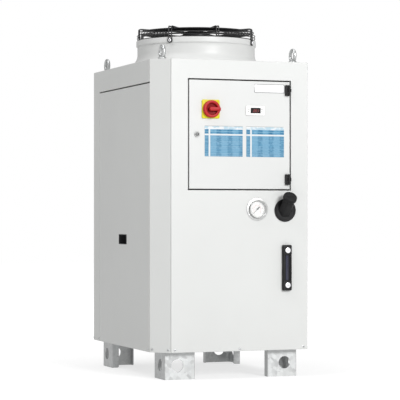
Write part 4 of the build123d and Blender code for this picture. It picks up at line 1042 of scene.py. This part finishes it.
# membrane keys with small triangular marks
for x in (-26.2, 25.2):
    for s in (-1, 1):
        T = K @ Matrix.Translation((x, s * 4.6, 0))
        ct.prism(T, rrect(6.6, 6.2, 2.4, n=5), 4.6, 5.0, M["white"], bevel=0.2)
        tri = [(-2.7, -1.9), (2.7, -1.9), (0.0, 2.5)] if s > 0 else [(-2.7, 1.9), (0.0, -2.5), (2.7, 1.9)]
        ct.prism(T, tri, 4.95, 5.06, M["print_dark"], bevel=0.0)
ct.done("door", ["controller"], "white_plastic", smooth=35)
dp = Build("display_window_panel")
dp.prism(K @ Matrix.Translation((0.9, 0, 0)), rrect(38.9, 19.9, 1.1), 3.7, 4.3, M["window"], bevel=0.0)
SEG = {"a": (0, 1, 1), "b": (1, 0.5, 0), "c": (1, -0.5, 0), "d": (0, -1, 1), "e": (-1, -0.5, 0), "f": (-1, 0.5, 0), "g": (0, 0, 1)}
DIG = {"0": "abcdef", "1": "bc", "2": "abged", "3": "abgcd", "4": "fgbc", "5": "afgcd", "8": "abcdefg"}
for i, chn in enumerate("201"):
    cx_ = -5.0 + 8.0 * i
    for sname, (ux, uy, hor) in SEG.items():
        lit = sname in DIG[chn]
        w_, h_ = (3.8, 0.95) if hor else (0.95, 3.9)
        px, py = cx_ + ux * 2.3 + uy * 0.3, uy * 4.6
        dp.prism(K @ Matrix.Translation((px - 0.2, py - 0.6, 0)), rrect(w_, h_, 0.45, n=3), 4.3, 4.38, M["digit"] if lit else M["digit_off"], bevel=0.0)
dp.prism(K @ Matrix.Translation((-5.0 + 8.0 * 1 + 3.9, -5.2, 0)), circle(0.6, 12), 4.3, 4.38, M["digit"], bevel=0.0)
dp.done("door", ["controller_display"], "display_black", smooth=35)

# ------------------------------------------------------------------ bare nameplate with a printed outline
NPM = front(144.5, 1055.0)
npb = Build("nameplate_blank")
npb.prism(NPM, rrect(119.0, 31.5, 4.2), 0.2, 1.25, M["plate"], bevel=0.35)
npb.ringprism(NPM, rrect(118.8, 31.3, 4.1), rrect(114.9, 27.4, 2.8), 1.2, 1.32, M["print_grey"])
npb.done("door", ["nameplate"], "nameplate_white", smooth=35)

# ------------------------------------------------------------------ printed tables on the door
for i, (x0, x1, z0) in enumerate(((-107.6, 40.0, 805.2), (53.9, 202.6, 805.0))):
    tb_ = Build(f"printed_table_{'left' if i == 0 else 'right'}")
    tw, th_ = x1 - x0, 111.0
    mt = table_material(f"table_print_{i}", x0 / 1000.0, z0 / 1000.0, th_, 3 + 8 * i)
    tb_.prism(front(x0 + tw / 2, z0 + th_ / 2), rrect(tw, th_, 1.2), 0.03, 0.28, mt, bevel=0.0)
    tb_.done("door", smooth=35)

# ------------------------------------------------------------------ lock
LKX, LKZ = -137.0, 884.6
LK = front(LKX, LKZ)
lh = Build("lock_bezel")
lh.lathe(LK, [(6.7, -13.5), (8.7, -13.5), (8.7, 0.3), (10.6, 0.3), (11.0, 0.8), (11.0, 1.9), (10.4, 2.8), (9.2, 3.1), (7.4, 3.0), (6.8, 2.6), (6.7, 1.8)], M["lock"], seg=48, closed=True)
lh.prism(LK @ Matrix.Translation((0, 0, -15.0)), circle(12.0, 6, math.radians(30)), 1.2, 5.5, M["zinc"], bevel=0.4)
lh.done("door", ["lock_housing"], "bright_steel", smooth=40)
lc = Build("lock_insert_slotted")
lc.lathe(LK, [(6.4, -14.8), (6.4, 1.5), (6.0, 1.9), (5.6, 2.0)], M["lock"], seg=40)
lc.lathe(LK, [(0, -14.8), (6.4, -14.8)], M["zinc"], seg=40)
# the keyway floor takes the near-black painted shade
lc.lathe(LK, [(5.6, 2.0), (5.4, 0.2), (0, 0.2)], M["screw_hole"], seg=40)
lc.box(LK @ Matrix.Translation((0, 0, 1.0)), 3.4, 10.6, 1.8, M["lock"], bevel=0.5)
lc.done("lock_insert", ["lock_core"], "bright_steel", smooth=40)

# ------------------------------------------------------------------ seal round the door opening and folded-edge shadow line
OX0, OX1, OZ0, OZ1 = -171.8, 230.8, 683.3, 1086.1
sl = Build("door_seal_strip")
wo, ho = OX1 - OX0, OZ1 - OZ0
FC = front((OX0 + OX1) / 2, (OZ0 + OZ1) / 2)
sl.ringprism(FC, rrect(wo + 18.0, ho + 18.0, 6.0), rrect(wo - 0.6, ho - 0.6, 2.0), -28.0, -22.2, M["gapseal"], bevel=1.2)
sl.done("cabinet", smooth=40)

# ------------------------------------------------------------------ hinges
for i, z in enumerate((723.6, 1049.6)):
    hb = Build(f"hinge_door_leaf_{'lower' if i == 0 else 'upper'}")
    T = axes((219.5, YF - 7.0, z), (1, 0, 0), (0, 1, 0))      # local z is up, along the pin
    for s in (-1, 1):
        z0, z1 = (6.6, 19.5) if s > 0 else (-19.5, -6.6)
        hb.lathe(T, [(2.1, z0), (4.9, z0), (5.45, z0 + 0.5), (5.45, z1 - 0.7), (4.8, z1), (2.1, z1)], M["black2"], seg=36, closed=True)
        hb.span(-13.2, 0.0, -2.4, 6.7, z0 + 0.05, z1 - 0.05, M["black2"], bevel=0.8, m=T)
    hb.span(-13.3, -7.2, -5.2, 6.75, -19.5, 19.5, M["black2"], bevel=1.3, seg=3, m=T)
    hb.done("door", ["hinge_door_leaves"] if i == 0 else [], "black_plastic", smooth=40)
    hf = Build(f"hinge_frame_leaf_{'lower' if i == 0 else 'upper'}")
    hf.lathe(T, [(0, -6.1), (5.45, -6.1), (5.45, 6.1), (0, 6.1)], M["black2"], seg=36)
    hf.lathe(T, [(0, -18.0), (2.0, -18.0), (2.0, 18.0), (0, 18.0)], M["zinc"], seg=20)
    hf.span(0.0, 9.2, -2.0, 2.0, -6.1, 6.1, M["black2"], bevel=0.6, m=T)
    hf.span(7.3, 9.2, -2.0, 28.6, -6.1, 6.1, M["black2"], bevel=0.5, m=T)
    hf.done("cabinet", ["hinge_frame_leaves"] if i == 0 else [], "black_plastic", smooth=40)

# ------------------------------------------------------------------ floor, light and camera
def stage():
    bm = bmesh.new()
    bmesh.ops.create_grid(bm, x_segments=2, y_segments=2, size=14.0)
    me = bpy.data.meshes.new("studio_floor")
    bm.to_mesh(me)
    bm.free()
    fl_ = bpy.data.objects.new("studio_floor", me)
    bpy.context.scene.collection.objects.link(fl_)
    m, t, p = new_mat("studio_white")
    n = Net(t)
    n.link(n.ramp(n.rng(n.noise(1.2, 3.0), 0, 1, 0.3, 0.7), [(0, (0.395, 0.395, 0.395)), (1, (0.405, 0.405, 0.405))]), p.inputs["Base Color"])
    p.inputs["Roughness"].default_value = 0.8
    p.inputs["Specular IOR Level"].default_value = 0.0
    p.inputs["Emission Color"].default_value = (1, 1, 1, 1)
    # the floor glows as painted light: weaker near the cabinet, which paints shade on the floor round it, and brighter
    # to the camera than to the rest of the scene
    far = n.node("ShaderNodeVectorMath", operation="LENGTH")
    n.link(n.obj(), far.inputs[0])
    seen = n.node("ShaderNodeLightPath").outputs["Is Camera Ray"]
    painted_floor_glow = n.rng(far.outputs["Value"], 0.66, 0.84, 0.5, 1.9)
    n.link(n.math("MULTIPLY", painted_floor_glow, n.rng(seen, 0.64, 1.0)), p.inputs["Emission Strength"])
    me.materials.append(m)


stage()


def area(name, loc, target, size, power, size_y=None, colour=(1, 1, 1)):
    li = bpy.data.lights.new(name, "AREA")
    li.shape = "RECTANGLE"
    li.size, li.size_y = size, size_y or size
    li.energy = power
    li.color = colour
    o = bpy.data.objects.new(name, li)
    o.location = loc
    d_ = Vector(target) - Vector(loc)
    o.rotation_euler = d_.to_track_quat("-Z", "Y").to_euler()
    bpy.context.scene.collection.objects.link(o)
    return o


area("key", (1.7, -9.0, 3.7), (0, 0, 0.45), 2.4, 628.0)
area("fill", (-3.1, -1.2, 4.9), (0, 0, 0.85), 2.2, 84.0)
area("overhead", (0.2, 0.4, 6.0), (0, 0, 0), 3.0, 60.0)

w = bpy.data.worlds.new("studio")
bpy.context.scene.world = w
w.use_nodes = True
wt = w.node_tree
wt.nodes.clear()
wo_ = wt.nodes.new("ShaderNodeOutputWorld")
bg1 = wt.nodes.new("ShaderNodeBackground")
bg1.inputs["Color"].default_value = (1.0, 1.0, 1.0, 1)
bg1.inputs["Strength"].default_value = 0.43
bg2 = wt.nodes.new("ShaderNodeBackground")
bg2.inputs["Color"].default_value = (1, 1, 1, 1)
bg2.inputs["Strength"].default_value = 1.0
mx = wt.nodes.new("ShaderNodeMixShader")
lp = wt.nodes.new("ShaderNodeLightPath")
wt.links.new(lp.outputs["Is Camera Ray"], mx.inputs[0])
wt.links.new(bg1.outputs[0], mx.inputs[1])
wt.links.new(bg2.outputs[0], mx.inputs[2])
wt.links.new(mx.outputs[0], wo_.inputs["Surface"])

sc = bpy.context.scene
sc.view_settings.view_transform = "Standard"
sc.view_settings.look = "None"
sc.view_settings.exposure = 0.0
sc.view_settings.gamma = 1.0

cam = bpy.data.cameras.new("photo_camera")
cam.sensor_width = 36.0
cam.lens = 1782.6 / 400.0 * 36.0
cam.shift_y = 0.032
cam.clip_end = 100.0
co = bpy.data.objects.new("photo_camera", cam)
co.location = (-2.3586, -6.3841 + SHIFT / 1000.0, 0.602)
co.rotation_euler = (math.radians(90), 0, math.radians(-20.377))
sc.collection.objects.link(co)
sc.camera = co
